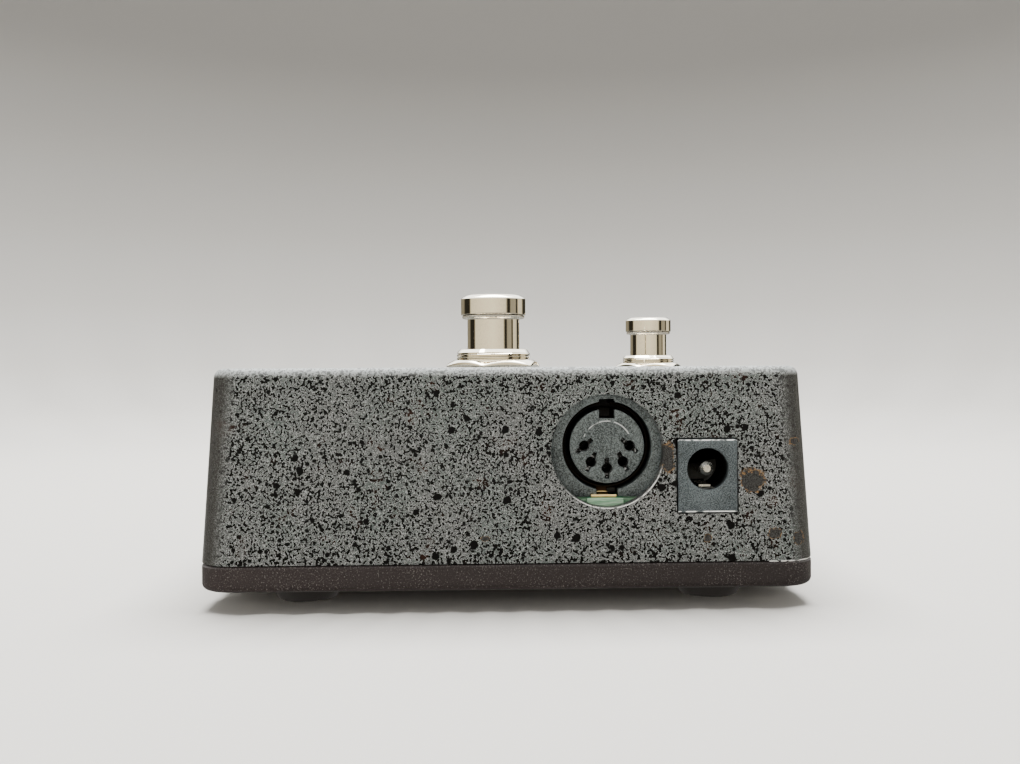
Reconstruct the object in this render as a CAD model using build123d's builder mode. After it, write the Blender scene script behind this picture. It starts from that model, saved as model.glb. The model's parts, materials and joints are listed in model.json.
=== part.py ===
from build123d import *
import math
import os

# Two-button foot controller pedal in a cast aluminium box, with a five-pin DIN
# socket and a DC jack in its short front wall. Millimetres, +Z up, +X to the right
# seen from the sockets, origin on the floor under the middle of the box.

os.makedirs("parts", exist_ok=True)

# Cast box: open rim below, top face above, all four walls drafted inwards
box_width = 94.0  # along X at the rim
box_length = 119.5  # along Y at the rim
body_height = 29.7  # rim to top face
wall = 2.25
top_thickness = 2.3
draft_angle = 3.8
plan_corner_radius = 5.5
top_edge_radius = 1.5
parting_chamfer = 0.25

# Base lid: a shallow tray with locating tongues
lid_height = 3.9
lid_plate = 2.2
lid_edge_radius = 1.0
tongue_thickness = 1.4
tongue_height = 1.5
tongue_clearance = 0.3

# Screw bosses in the corners, and the four countersunk lid screws
boss_radius = 4.0
boss_inset = 6.0  # boss axis to each outer face at the rim
boss_hole_depth = 12.0
screw_diameter = 3.5
screw_length = 11.0
screw_head_diameter = 6.4
screw_tip_bevel = 0.6
screw_clearance = 0.1  # radial, in the lid
thread_clearance = 0.05  # radial, between any screw thread and its hole
recess_length = 3.4
recess_width = 0.8
recess_depth = 1.2

# Stick-on rubber feet
foot_height = 3.5
foot_top_diameter = 12.7
foot_bottom_diameter = 8.6
foot_edge_radius = 0.4
foot_inset_x = 14.6  # foot axis to the side of the lid
foot_inset_y = 13.5  # foot axis to the end of the lid

# Footswitches: where they stand
jack_inset = 16.85  # DC jack axis to the right side of the box at the rim
socket_pitch = 14.95  # DC jack axis to DIN socket axis
switch_pitch = 17.6  # DIN socket axis to front switch axis, along X
front_switch_setback = 16.0  # front switch axis to the front of the rim
rear_switch_inset = 14.0  # rear switch axis to the right side of the rim
rear_switch_setback = 25.5  # rear switch axis to the rear of the rim

# Footswitches: the parts that clamp to the box top
bushing_diameter = 12.0
bushing_lift = 2.9  # bushing end above the box top
bushing_drop = 4.3  # bushing end below the box ceiling
bushing_bevel = 0.35
panel_hole_clearance = 0.15
nut_wall = 1.0  # bushing to the middle of each flat
nut_crown_wall = 0.5  # bushing to the chamfer
nut_chamfer_angle = 30
outer_nut_height = 1.2
inner_nut_height = 2.0
nut_turns = {"front": 18.0, "rear": 6.0}
lock_washer_width = 1.8
lock_washer_thickness = 0.6
lock_washer_teeth = 12
lock_washer_notch = (1.0, 1.6)

# Footswitches: plunger, spring and contacts
switch_travel = 2.5
button_lip = 1.05  # how far the button stands out round its neck
button_height = 3.9
button_lift = 8.0  # underside of the button above the box top
button_bevel = 0.65
button_dome = 0.15
button_rim_bevel = 0.3
neck_diameter = 8.5
neck_cone = 0.4
running_clearance = 0.05  # radial, neck in bushing
stop_gap = 0.05
flange_lip = 0.85  # how far the flange stands out round the neck
flange_thickness = 1.2
flange_clearance = 0.3
stem_diameter = 4.0
stem_clearance = 0.3
rivet_diameter = 2.0
rivet_head_diameter = 3.0
rivet_head_height = 0.4
spring_wire = 0.5
spring_diameter = 7.2  # mean
spring_turns = 4
spring_seat_gap = 0.02
shelf_thickness = 0.8
bridge_length = 11.0
bridge_width = 2.6
bridge_thickness = 0.4
bridge_clearance = 0.6
contact_gap_at_limit = 0.1
contact_height = 0.6
contact_length = 2.4
contact_width = 3.0
contact_overlap = 0.1  # end of each fixed contact inside the end of the bridge
lug_width = 2.0
lug_thickness = 0.8
lug_clearance = 0.1
spring_length = 5.25
frame_thickness = 1.0
frame_leg = 0.8
frame_edge = 1.5  # strap beside the bushing
frame_tab = 2.0
housing_side_wall = 1.1
housing_end_wall = 1.55
housing_clearance = 0.05
base_thickness = 1.3

# Circuit board, held by the switch lugs
board_drop = 0.2  # board top below the switch frames
board_thickness = 1.6
board_side_margin = 5.0
board_left_margin = 11.6  # beyond the front switch axis
board_front_margin = 1.0  # behind the DIN socket face
board_rear_margin = 9.75  # beyond the rear switch axis
board_cut_gap = 0.25
board_tab_width = 5.6
board_tab_offset = -0.4  # tab centre from the DIN axis
board_tab_length = 2.0
tail_out = 1.4  # how far lugs and tails pass below the board
tail_hole_radius = 0.55

# DIN socket
din_side_wall = 1.8
din_top_wall = 1.05
din_roof_gap = 1.0  # least room between the socket and the box ceiling
din_floor = 0.95  # groove to the board
din_depth = 12.5
din_wall_gap = 0.31  # top edge of the socket face to the inside of the box wall
din_hole_margin = 1.65  # window in the box wall round the groove
din_hole_shift_x = -0.2
din_hole_shift_z = -0.55
din_hole_bevel = 0.2
din_groove_outer = 13.8
din_groove_width = 1.15
din_groove_depth = 8.5
din_key_width = 2.4
din_key_depth = 1.5
din_insert_clearance = 0.05
din_collar_lip = 0.75
din_collar_thickness = 0.5
din_mouth_width = 3.3
din_mouth_depth = 4.6
din_step_radius = 3.75
din_step = 0.15
pin_circle_radius = 3.5
pin_angles = (180, 225, 270, 315, 360)
pin_mouth_diameter = 1.65
pin_mouth_depth = 1.0
slot_length = 3.2
slot_width = 0.7
slot_depth = 3.2
slot_fan = 0.56  # how much each slot turns per degree round the pin circle
tube_outer = 2.0
tube_inner = 1.5
tube_length = 8.0
tube_clearance = 0.05
fin_clearance = 0.1
fin_recess = 1.5
tail_size = 0.6
tail_clearance = 0.1
tail_rows = {180: 1.1, 225: 3.6, 270: 1.1, 315: 3.6, 360: 1.1}
ring_wall = 0.4
ring_clearance = 0.1
ring_recess = 3.6
ring_length = 4.6
ring_gap_angle = 14
ring_tab_width = 1.7
ring_tab_shift = -0.6
ring_foot_width = 3.9
ring_foot_thickness = 0.4
ring_foot_out = 0.7  # in front of the socket face
ring_foot_gap = 0.05

# DC jack
jack_width = 9.0
jack_height = 11.0
jack_depth = 14.4
jack_face_setback = 0.4  # jack face behind the front of the rim
jack_sink = 2.05  # jack bottom below the board top
jack_hole_height = 6.55  # above the jack bottom
jack_hole_diameter = 6.3
jack_hole_depth = 10.0
jack_front_block = 3.6
jack_barrel_diameter = 8.8
jack_edge_radius = 0.3
jack_cut_clearance = 0.2
jack_pin_diameter = 2.1
jack_pin_recess = 0.7
jack_pin_nose = 0.5
jack_pin_clearance = 0.05
jack_stub_width = 1.3  # square end of the pin, through the back of the bore
jack_stub_gap = 0.2  # step on the pin ahead of the bore floor
jack_lug_thickness = 0.5
jack_lug_width = 2.2
jack_lug_shift = 2.6  # sleeve lug from the jack axis
leaf_width = 1.8
leaf_thickness = 0.3
leaf_rise = 0.2
leaf_recess = 3.0
leaf_clearance = 0.1

# Leads from the jack to the board
lead_diameter = 1.1
lead_run = 4.5
lead_rise = 2.6
lead_drift = 1.0  # sideways, per run
lead_bend_share = 0.45  # of the shorter run at a bend

# Parts on the board
chip_length = 22.9
chip_width = 6.4
chip_height = 3.2
chip_pins = 9
chip_pitch = 2.54
chip_row = 7.62
chip_leg = 0.5
chip_lift = 0.6
chip_notch_radius = 1.1
socket_width = 10.0
socket_height = 4.0
socket_window = (16.0, 4.0)
crystal_size = (11.0, 4.6, 3.5)
crystal_edge_radius = 0.55
capacitor_diameter = 6.3
capacitor_height = 11.0
capacitor_edge_radius = 0.5
capacitor_spacing = 10.0
ceramic_size = (4.2, 2.2, 4.4)
ceramic_edge_radius = 0.7
ceramic_count = 3
ceramic_pitch = 6.0
resistor_diameter = 2.3
resistor_length = 6.3
resistor_count = 5
resistor_pitch = 3.2
axial_lead = 0.6
axial_lead_reach = 1.9
axial_lift = 0.4
diode_diameter = 2.6
diode_length = 5.2
regulator_diameter = 4.8
regulator_flat = 1.3  # axis to the flat face
regulator_height = 4.8
regulator_lift = 2.0
regulator_pitch = 1.27
regulator_legs = 3
header_pins = 6
header_pitch = 2.54
header_base = 2.5
header_pin = 0.6
header_pin_height = 8.5

# Where they stand: along Y from the middle row, along X from what each name says
middle_row_setback = 21.0  # behind the front switch axis
chip_from_din = -2.0
capacitor_from_switch = -6.0
capacitor_row = -3.0
ceramic_from_din = 3.0
ceramic_row = 10.0
resistor_from_din = -1.0
resistor_row = 18.0
diode_from_jack = 8.0
regulator_row = 11.0
header_row = 18.0

# Sizes that follow
nut_across_flats = bushing_diameter + 2 * nut_wall
nut_crown_diameter = bushing_diameter + 2 * nut_crown_wall
lock_washer_diameter = bushing_diameter + 2 * lock_washer_width
button_diameter = neck_diameter + 2 * button_lip
flange_diameter = neck_diameter + 2 * flange_lip
contact_offset = (bridge_length - contact_length) / 2 + contact_overlap
frame_width = bushing_diameter + 2 * frame_edge
housing_width = flange_diameter + 2 * flange_clearance + 2 * housing_side_wall
housing_length = bridge_length + 2 * bridge_clearance + 2 * housing_end_wall
din_groove_inner = din_groove_outer - 2 * din_groove_width
din_hole_diameter = din_groove_outer + 2 * din_hole_margin
din_width = din_groove_outer + 2 * din_side_wall
din_axis_height = din_groove_outer / 2 + din_floor
din_height = din_axis_height + din_groove_outer / 2 + din_top_wall
din_collar_diameter = din_groove_inner + 2 * din_collar_lip

# Levels, from the floor up
lid_bottom_z = foot_height
rim_z = lid_bottom_z + lid_height
top_z = rim_z + body_height
ceiling_z = top_z - top_thickness

# Places in plan
front_y = -box_length / 2
boss_x = box_width / 2 - boss_inset
boss_y = box_length / 2 - boss_inset
jack_x = box_width / 2 - jack_inset
din_x = jack_x - socket_pitch
front_switch_x = din_x - switch_pitch
front_switch_y = front_y + front_switch_setback
rear_switch_x = box_width / 2 - rear_switch_inset
rear_switch_y = box_length / 2 - rear_switch_setback
switch_places = {
    "front": (front_switch_x, front_switch_y),
    "rear": (rear_switch_x, rear_switch_y),
}

# Switch levels, hung from the box ceiling
bushing_bottom_z = ceiling_z - bushing_drop
bushing_top_z = top_z + bushing_lift
frame_top_z = bushing_bottom_z + frame_thickness
flange_top_z = bushing_bottom_z - stop_gap
flange_bottom_z = flange_top_z - flange_thickness
shelf_top_z = flange_bottom_z - spring_length
shelf_bottom_z = shelf_top_z - shelf_thickness
bridge_top_z = shelf_bottom_z - stem_clearance
bridge_bottom_z = bridge_top_z - bridge_thickness
contact_top_z = bridge_bottom_z - switch_travel - contact_gap_at_limit
base_top_z = contact_top_z - contact_height
base_bottom_z = base_top_z - base_thickness
frame_bottom_z = base_bottom_z - frame_leg

# Board levels. The board hangs under the switches, or lower if the DIN socket needs room.
board_top_z = min(frame_bottom_z - board_drop, ceiling_z - din_height - din_roof_gap)
board_bottom_z = board_top_z - board_thickness
tail_bottom_z = board_bottom_z - tail_out

# DIN and jack levels. The DIN face clears the leaning wall at its top edge.
din_z = board_top_z + din_axis_height
din_top_rise = board_top_z + din_height - rim_z
din_setback = wall + din_top_rise * math.tan(math.radians(draft_angle)) + din_wall_gap
din_face = -front_y - din_setback  # distance of the socket face in front of the middle
din_rear_y = -din_face + din_depth
jack_bottom_z = board_top_z - jack_sink
jack_z = jack_bottom_z + jack_hole_height
jack_face = -front_y - jack_face_setback
jack_rear_y = -jack_face + jack_depth


def make_feet():
    for end, end_sign in (("front", -1), ("rear", 1)):
        for side, side_sign in (("left", -1), ("right", 1)):
            foot_x = side_sign * (box_width / 2 - foot_inset_x)
            foot_y = end_sign * (box_length / 2 - foot_inset_y)
            with BuildPart() as foot:
                with BuildSketch(Plane((foot_x, foot_y, 0))):
                    Circle(foot_bottom_diameter / 2)
                with BuildSketch(Plane((foot_x, foot_y, foot_height))):
                    Circle(foot_top_diameter / 2)
                loft()
                fillet(foot.edges().group_by(Axis.Z)[0], foot_edge_radius)
            foot.part.label = f"foot_{end}_{side}"
            export_step(foot.part, f"parts/{foot.part.label}.step")


# The hollow of the box: drafted walls, with the corner bosses left standing
def make_cavity():
    cavity_height = ceiling_z - rim_z
    with BuildPart() as cavity:
        with BuildSketch(Plane.XY.offset(rim_z)):
            RectangleRounded(
                box_width - 2 * wall, box_length - 2 * wall, plan_corner_radius - wall
            )
        extrude(amount=cavity_height, taper=draft_angle)
        with BuildSketch(Plane.XY.offset(rim_z)):
            with GridLocations(2 * boss_x, 2 * boss_y, 2, 2):
                Circle(boss_radius)
            with GridLocations(2 * boss_x + boss_inset, 2 * boss_y + boss_inset, 2, 2):
                Rectangle(boss_inset, boss_inset)
        extrude(amount=cavity_height, mode=Mode.SUBTRACT)
    return cavity.part


def make_enclosure():
    cavity = make_cavity()
    with BuildPart() as enclosure_body:
        with BuildSketch(Plane.XY.offset(rim_z)):
            RectangleRounded(box_width, box_length, plan_corner_radius)
        extrude(amount=body_height, taper=draft_angle)
        fillet(enclosure_body.faces().sort_by(Axis.Z)[-1].edges(), top_edge_radius)
        chamfer(enclosure_body.faces().sort_by(Axis.Z)[0].edges(), parting_chamfer)
        # Round window for the DIN plug, with its outer edge broken
        with BuildSketch(Plane.XZ.offset(-front_y)):
            with Locations((din_x + din_hole_shift_x, din_z + din_hole_shift_z)):
                Circle(din_hole_diameter / 2)
        extrude(amount=-din_setback, mode=Mode.SUBTRACT)
        window_edge = enclosure_body.edges().filter_by(GeomType.ELLIPSE)
        chamfer(window_edge.sort_by(Axis.Y)[0], din_hole_bevel)
        add(cavity, mode=Mode.SUBTRACT)
        # Rectangular window for the DC jack
        with BuildSketch(Plane.XZ.offset(-front_y)):
            with Locations((jack_x, jack_bottom_z + jack_height / 2)):
                Rectangle(
                    jack_width + 2 * jack_cut_clearance,
                    jack_height + 2 * jack_cut_clearance,
                )
        extrude(amount=-din_setback, mode=Mode.SUBTRACT)
        with BuildSketch(Plane.XY.offset(ceiling_z)):
            with Locations(*switch_places.values()):
                Circle(bushing_diameter / 2 + panel_hole_clearance)
        extrude(amount=top_thickness, mode=Mode.SUBTRACT)
        with BuildSketch(Plane.XY.offset(rim_z)):
            with GridLocations(2 * boss_x, 2 * boss_y, 2, 2):
                Circle(screw_diameter / 2 + thread_clearance)
        extrude(amount=boss_hole_depth, mode=Mode.SUBTRACT)
    enclosure_body.part.label = "enclosure_body"
    export_step(enclosure_body.part, "parts/enclosure_body.step")


def make_base_lid():
    tongue_x = box_width / 2 - wall - tongue_clearance - tongue_thickness / 2
    tongue_y = box_length / 2 - wall - tongue_clearance - tongue_thickness / 2
    tongue_run_x = 2 * (boss_x - boss_radius - tongue_clearance)
    tongue_run_y = 2 * (boss_y - boss_radius - tongue_clearance)
    hole_radius = screw_diameter / 2 + screw_clearance
    sink_radius = screw_head_diameter / 2 + screw_clearance
    with BuildPart() as base_lid:
        with BuildSketch(Plane.XY.offset(lid_bottom_z)):
            RectangleRounded(box_width, box_length, plan_corner_radius)
        extrude(amount=lid_height)
        fillet(base_lid.faces().sort_by(Axis.Z)[0].edges(), lid_edge_radius)
        chamfer(base_lid.faces().sort_by(Axis.Z)[-1].edges(), parting_chamfer)
        # Four tongues that locate the lid inside the box walls
        with BuildSketch(Plane.XY.offset(rim_z)):
            with GridLocations(2 * tongue_x, 0, 2, 1):
                Rectangle(tongue_thickness, tongue_run_y)
            with GridLocations(0, 2 * tongue_y, 1, 2):
                Rectangle(tongue_run_x, tongue_thickness)
        extrude(amount=tongue_height)
        # Tray, with pads left under the bosses
        with BuildSketch(Plane.XY.offset(lid_bottom_z + lid_plate)):
            Rectangle(2 * tongue_x - tongue_thickness, 2 * tongue_y - tongue_thickness)
            with GridLocations(2 * boss_x, 2 * boss_y, 2, 2):
                Rectangle(2 * boss_radius, 2 * boss_radius, mode=Mode.SUBTRACT)
        extrude(amount=lid_height - lid_plate, mode=Mode.SUBTRACT)
        with Locations(
            *[
                Plane((x, y, lid_bottom_z), z_dir=(0, 0, -1))
                for x in (-boss_x, boss_x)
                for y in (-boss_y, boss_y)
            ]
        ):
            CounterSinkHole(hole_radius, sink_radius, depth=lid_height, counter_sink_angle=90)
    base_lid.part.label = "base_lid"
    export_step(base_lid.part, "parts/base_lid.step")


def make_lid_screws():
    head_radius = screw_head_diameter / 2
    shank_radius = screw_diameter / 2
    head_height = head_radius - shank_radius
    with BuildPart() as lid_screw:
        with BuildSketch(Plane.XZ):
            with BuildLine():
                Polyline(
                    (0, 0),
                    (head_radius, 0),
                    (shank_radius, head_height),
                    (shank_radius, screw_length - screw_tip_bevel),
                    (shank_radius - screw_tip_bevel, screw_length),
                    (0, screw_length),
                    close=True,
                )
            make_face()
        revolve(axis=Axis.Z)
        with BuildSketch(Plane.XY):
            Rectangle(recess_length, recess_width)
            Rectangle(recess_width, recess_length)
        extrude(amount=recess_depth, mode=Mode.SUBTRACT)
    with BuildPart() as lid_screws:
        with Locations(Plane.XY.offset(lid_bottom_z)):
            with GridLocations(2 * boss_x, 2 * boss_y, 2, 2):
                add(lid_screw.part)
    lid_screws.part.label = "lid_screws"
    export_step(lid_screws.part, "parts/lid_screws.step")


# A hexagon nut with a chamfer round its upper corners
def make_nut(name, x, y, bottom_z, height, turn):
    corner = nut_across_flats / math.sqrt(3) + thread_clearance
    crown = nut_crown_diameter / 2
    drop = (corner - crown) * math.tan(math.radians(nut_chamfer_angle))
    with BuildPart() as nut:
        with BuildSketch(Plane((x, y, bottom_z))):
            RegularPolygon(nut_across_flats / 2, 6, major_radius=False, rotation=turn)
            Circle(bushing_diameter / 2 + thread_clearance, mode=Mode.SUBTRACT)
        extrude(amount=height)
        with BuildSketch(Plane((x, y, bottom_z), x_dir=(1, 0, 0), z_dir=(0, -1, 0))):
            with BuildLine():
                Polyline(
                    (0, 0),
                    (corner, 0),
                    (corner, height - drop),
                    (crown, height),
                    (0, height),
                    close=True,
                )
            make_face()
        revolve(axis=Axis((x, y, 0), (0, 0, 1)), mode=Mode.INTERSECT)
    nut.part.label = name
    export_step(nut.part, f"parts/{name}.step")


def make_switch_fixings(name, x, y):
    with BuildPart() as bushing:
        with BuildSketch(Plane((x, y, bushing_bottom_z))):
            Circle(bushing_diameter / 2)
            Circle(neck_diameter / 2 + running_clearance, mode=Mode.SUBTRACT)
        extrude(amount=bushing_top_z - bushing_bottom_z)
        rims = bushing.edges().group_by(Axis.Z)[-1].sort_by(SortBy.LENGTH)
        chamfer(rims[-1], bushing_bevel)
    bushing.part.label = f"{name}_switch_bushing"
    export_step(bushing.part, f"parts/{bushing.part.label}.step")

    washer_bottom_z = ceiling_z - lock_washer_thickness
    with BuildPart() as lock_washer:
        with BuildSketch(Plane((x, y, washer_bottom_z))):
            Circle(lock_washer_diameter / 2)
            Circle(bushing_diameter / 2 + panel_hole_clearance, mode=Mode.SUBTRACT)
            with PolarLocations(lock_washer_diameter / 2, lock_washer_teeth):
                Rectangle(*lock_washer_notch, mode=Mode.SUBTRACT)
        extrude(amount=lock_washer_thickness)
    lock_washer.part.label = f"{name}_switch_lock_washer"
    export_step(lock_washer.part, f"parts/{lock_washer.part.label}.step")

    turn = nut_turns[name]
    make_nut(f"{name}_switch_outer_nut", x, y, top_z, outer_nut_height, turn)
    inner_nut_z = washer_bottom_z - inner_nut_height
    make_nut(f"{name}_switch_inner_nut", x, y, inner_nut_z, inner_nut_height, turn)


# Button, neck, flange, stem and rivet in one turned piece
def make_plunger(name, x, y):
    button_radius = button_diameter / 2
    neck_radius = neck_diameter / 2
    button_z = top_z + button_lift
    crown_z = button_z + button_height
    rivet_z = bridge_bottom_z - rivet_head_height
    with BuildPart() as plunger:
        with BuildSketch(Plane((x, y, 0), x_dir=(1, 0, 0), z_dir=(0, -1, 0))):
            with BuildLine():
                ThreePointArc(
                    (0, crown_z),
                    ((button_radius - button_bevel) / 2, crown_z - button_dome / 4),
                    (button_radius - button_bevel, crown_z - button_dome),
                )
                Polyline(
                    (button_radius - button_bevel, crown_z - button_dome),
                    (button_radius, crown_z - button_dome - button_bevel),
                    (button_radius, button_z + button_rim_bevel),
                    (button_radius - button_rim_bevel, button_z),
                    (neck_radius + neck_cone, button_z),
                    (neck_radius, button_z - neck_cone),
                    (neck_radius, flange_top_z),
                    (flange_diameter / 2, flange_top_z),
                    (flange_diameter / 2, flange_bottom_z),
                    (stem_diameter / 2, flange_bottom_z),
                    (stem_diameter / 2, bridge_top_z),
                    (rivet_diameter / 2, bridge_top_z),
                    (rivet_diameter / 2, bridge_bottom_z),
                    (rivet_head_diameter / 2, bridge_bottom_z),
                    (rivet_head_diameter / 2, rivet_z),
                    (0, rivet_z),
                    (0, crown_z),
                )
            make_face()
        revolve(axis=Axis((x, y, 0), (0, 0, 1)))
    plunger.part.label = f"{name}_switch_plunger"
    export_step(plunger.part, f"parts/{plunger.part.label}.step")


def make_return_spring(name, x, y):
    wire_radius = spring_wire / 2
    coil_bottom_z = shelf_top_z + wire_radius + spring_seat_gap
    coil_height = spring_length - spring_wire - 2 * spring_seat_gap
    coil = Helix(
        pitch=coil_height / spring_turns,
        height=coil_height,
        radius=spring_diameter / 2,
        center=(x, y, coil_bottom_z),
    )
    with BuildPart() as return_spring:
        with BuildLine():
            add(coil)
        with BuildSketch(Plane(origin=coil @ 0, z_dir=coil % 0)):
            Circle(wire_radius)
        sweep(is_frenet=True)
    return_spring.part.label = f"{name}_switch_return_spring"
    export_step(return_spring.part, f"parts/{return_spring.part.label}.step")


def make_switch_contacts(name, x, y):
    with BuildPart() as contact_bridge:
        with BuildSketch(Plane((x, y, bridge_bottom_z))):
            SlotOverall(bridge_length, bridge_width, rotation=90)
            Circle(rivet_diameter / 2 + running_clearance, mode=Mode.SUBTRACT)
        extrude(amount=bridge_thickness)
    contact_bridge.part.label = f"{name}_switch_contact_bridge"
    export_step(contact_bridge.part, f"parts/{contact_bridge.part.label}.step")

    with BuildPart() as terminals:
        with BuildSketch(Plane((x, y, base_top_z))):
            with GridLocations(0, 2 * contact_offset, 1, 2):
                Rectangle(contact_width, contact_length)
        extrude(amount=contact_height)
        with BuildSketch(Plane((x, y, tail_bottom_z))):
            with GridLocations(0, 2 * contact_offset, 1, 2):
                Rectangle(lug_width, lug_thickness)
        extrude(amount=base_top_z - tail_bottom_z)
    terminals.part.label = f"{name}_switch_terminals"
    export_step(terminals.part, f"parts/{terminals.part.label}.step")


def make_switch_case(name, x, y):
    chamber_top_z = shelf_bottom_z
    with BuildPart() as housing:
        with BuildSketch(Plane((x, y, base_top_z))):
            Rectangle(housing_width, housing_length)
        extrude(amount=bushing_bottom_z - base_top_z)
        with BuildSketch(Plane((x, y, shelf_top_z))):
            Circle(flange_diameter / 2 + flange_clearance)
        extrude(amount=bushing_bottom_z - shelf_top_z, mode=Mode.SUBTRACT)
        with BuildSketch(Plane((x, y, shelf_bottom_z))):
            Circle(stem_diameter / 2 + stem_clearance)
        extrude(amount=shelf_thickness, mode=Mode.SUBTRACT)
        with BuildSketch(Plane((x, y, base_top_z))):
            Rectangle(
                max(contact_width, bridge_width) + 2 * bridge_clearance,
                bridge_length + 2 * bridge_clearance,
            )
        extrude(amount=chamber_top_z - base_top_z, mode=Mode.SUBTRACT)
    housing.part.label = f"{name}_switch_housing"
    export_step(housing.part, f"parts/{housing.part.label}.step")

    with BuildPart() as base:
        with BuildSketch(Plane((x, y, base_bottom_z))):
            Rectangle(housing_width, housing_length)
            with GridLocations(0, 2 * contact_offset, 1, 2):
                Rectangle(
                    lug_width + 2 * lug_clearance,
                    lug_thickness + 2 * lug_clearance,
                    mode=Mode.SUBTRACT,
                )
        extrude(amount=base_thickness)
    base.part.label = f"{name}_switch_base"
    export_step(base.part, f"parts/{base.part.label}.step")

    # Folded steel strap: top plate round the bushing, two legs, two tabs under the base
    inside_length = housing_length + 2 * housing_clearance
    outside_length = inside_length + 2 * frame_leg
    middle_z = (base_bottom_z + bushing_bottom_z) / 2
    with BuildPart() as frame:
        with BuildSketch(Plane((x, y, 0), x_dir=(0, 1, 0), z_dir=(1, 0, 0))):
            with Locations((0, (frame_bottom_z + frame_top_z) / 2)):
                Rectangle(outside_length, frame_top_z - frame_bottom_z)
            with Locations((0, middle_z)):
                Rectangle(inside_length, bushing_bottom_z - base_bottom_z, mode=Mode.SUBTRACT)
            with Locations((0, frame_bottom_z + frame_leg / 2)):
                Rectangle(inside_length - 2 * frame_tab, frame_leg, mode=Mode.SUBTRACT)
        extrude(amount=frame_width / 2, both=True)
        with BuildSketch(Plane((x, y, bushing_bottom_z))):
            Circle(bushing_diameter / 2 + thread_clearance)
        extrude(amount=frame_thickness, mode=Mode.SUBTRACT)
    frame.part.label = f"{name}_switch_frame"
    export_step(frame.part, f"parts/{frame.part.label}.step")


def make_footswitches():
    for name, (x, y) in switch_places.items():
        make_switch_fixings(name, x, y)
        make_plunger(name, x, y)
        make_return_spring(name, x, y)
        make_switch_contacts(name, x, y)
        make_switch_case(name, x, y)


# Centre of one DIN contact on the pin circle, in X and Z
def pin_place(angle):
    turn = math.radians(angle)
    return (
        din_x + pin_circle_radius * math.cos(turn),
        din_z + pin_circle_radius * math.sin(turn),
    )


def slot_turn(angle):
    return 90 + (angle - 270) * slot_fan


# Outer block of the DIN socket: plug groove, key slot, and the mouth down to the board
def make_din_housing():
    face_plane = Plane.XZ.offset(din_face)
    with BuildPart() as din_housing:
        with BuildSketch(face_plane):
            with Locations((din_x, board_top_z + din_height / 2)):
                Rectangle(din_width, din_height)
        extrude(amount=-din_depth)
        with BuildSketch(face_plane):
            with Locations((din_x, din_z)):
                Circle(din_groove_outer / 2)
            with Locations((din_x, din_z + din_groove_inner / 2)):
                Rectangle(din_key_width, 2 * din_key_depth)
        extrude(amount=-din_groove_depth, mode=Mode.SUBTRACT)
        with BuildSketch(face_plane):
            with Locations((din_x, din_z)):
                Circle(din_groove_inner / 2 + din_insert_clearance)
        extrude(amount=-din_depth, mode=Mode.SUBTRACT)
        with BuildSketch(face_plane):
            with Locations((din_x, (board_top_z + din_z - din_groove_inner / 2) / 2)):
                Rectangle(din_mouth_width, din_z - din_groove_inner / 2 - board_top_z)
        extrude(amount=-din_mouth_depth, mode=Mode.SUBTRACT)
    din_housing.part.label = "din_housing"
    export_step(din_housing.part, "parts/din_housing.step")


# Contact insert: a disc inside the groove, with a collar against the rear of the block
def make_din_insert():
    face_plane = Plane.XZ.offset(din_face)
    places = [pin_place(angle) for angle in pin_angles]
    tail_hole = tail_size + 2 * tail_clearance
    with BuildPart() as din_insert:
        with BuildSketch(face_plane):
            with Locations((din_x, din_z)):
                Circle(din_groove_inner / 2)
        extrude(amount=-din_depth)
        with BuildSketch(Plane.XZ.offset(-din_rear_y)):
            with Locations((din_x, din_z)):
                Circle(din_collar_diameter / 2)
        extrude(amount=-din_collar_thickness)
        with BuildSketch(face_plane):
            with Locations((din_x, din_z + din_groove_inner / 2)):
                Rectangle(din_key_width, 2 * din_key_depth)
        extrude(amount=-din_groove_depth, mode=Mode.SUBTRACT)
        # Shallow round step in the middle of the face
        with BuildSketch(face_plane):
            with Locations((din_x, din_z)):
                Circle(din_step_radius)
        extrude(amount=-din_step, mode=Mode.SUBTRACT)
        # Contact mouths with their cross slots, then the bores and tail holes behind
        with BuildSketch(face_plane):
            for angle in pin_angles:
                with Locations(Location((*pin_place(angle), 0), slot_turn(angle))):
                    Rectangle(slot_length, slot_width)
        extrude(amount=-slot_depth, mode=Mode.SUBTRACT)
        with BuildSketch(face_plane):
            with Locations(*places):
                Circle(pin_mouth_diameter / 2)
        extrude(amount=-pin_mouth_depth, mode=Mode.SUBTRACT)
        with BuildSketch(Plane.XZ.offset(din_face - pin_mouth_depth)):
            with Locations(*places):
                Circle(tube_outer / 2 + tube_clearance)
        extrude(amount=-tube_length - 2 * tube_clearance, mode=Mode.SUBTRACT)
        with BuildSketch(face_plane):
            with Locations(*places):
                Rectangle(tail_hole, tail_hole)
        extrude(amount=-din_depth - din_collar_thickness, mode=Mode.SUBTRACT)
    din_insert.part.label = "din_insert"
    export_step(din_insert.part, "parts/din_insert.step")


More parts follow.
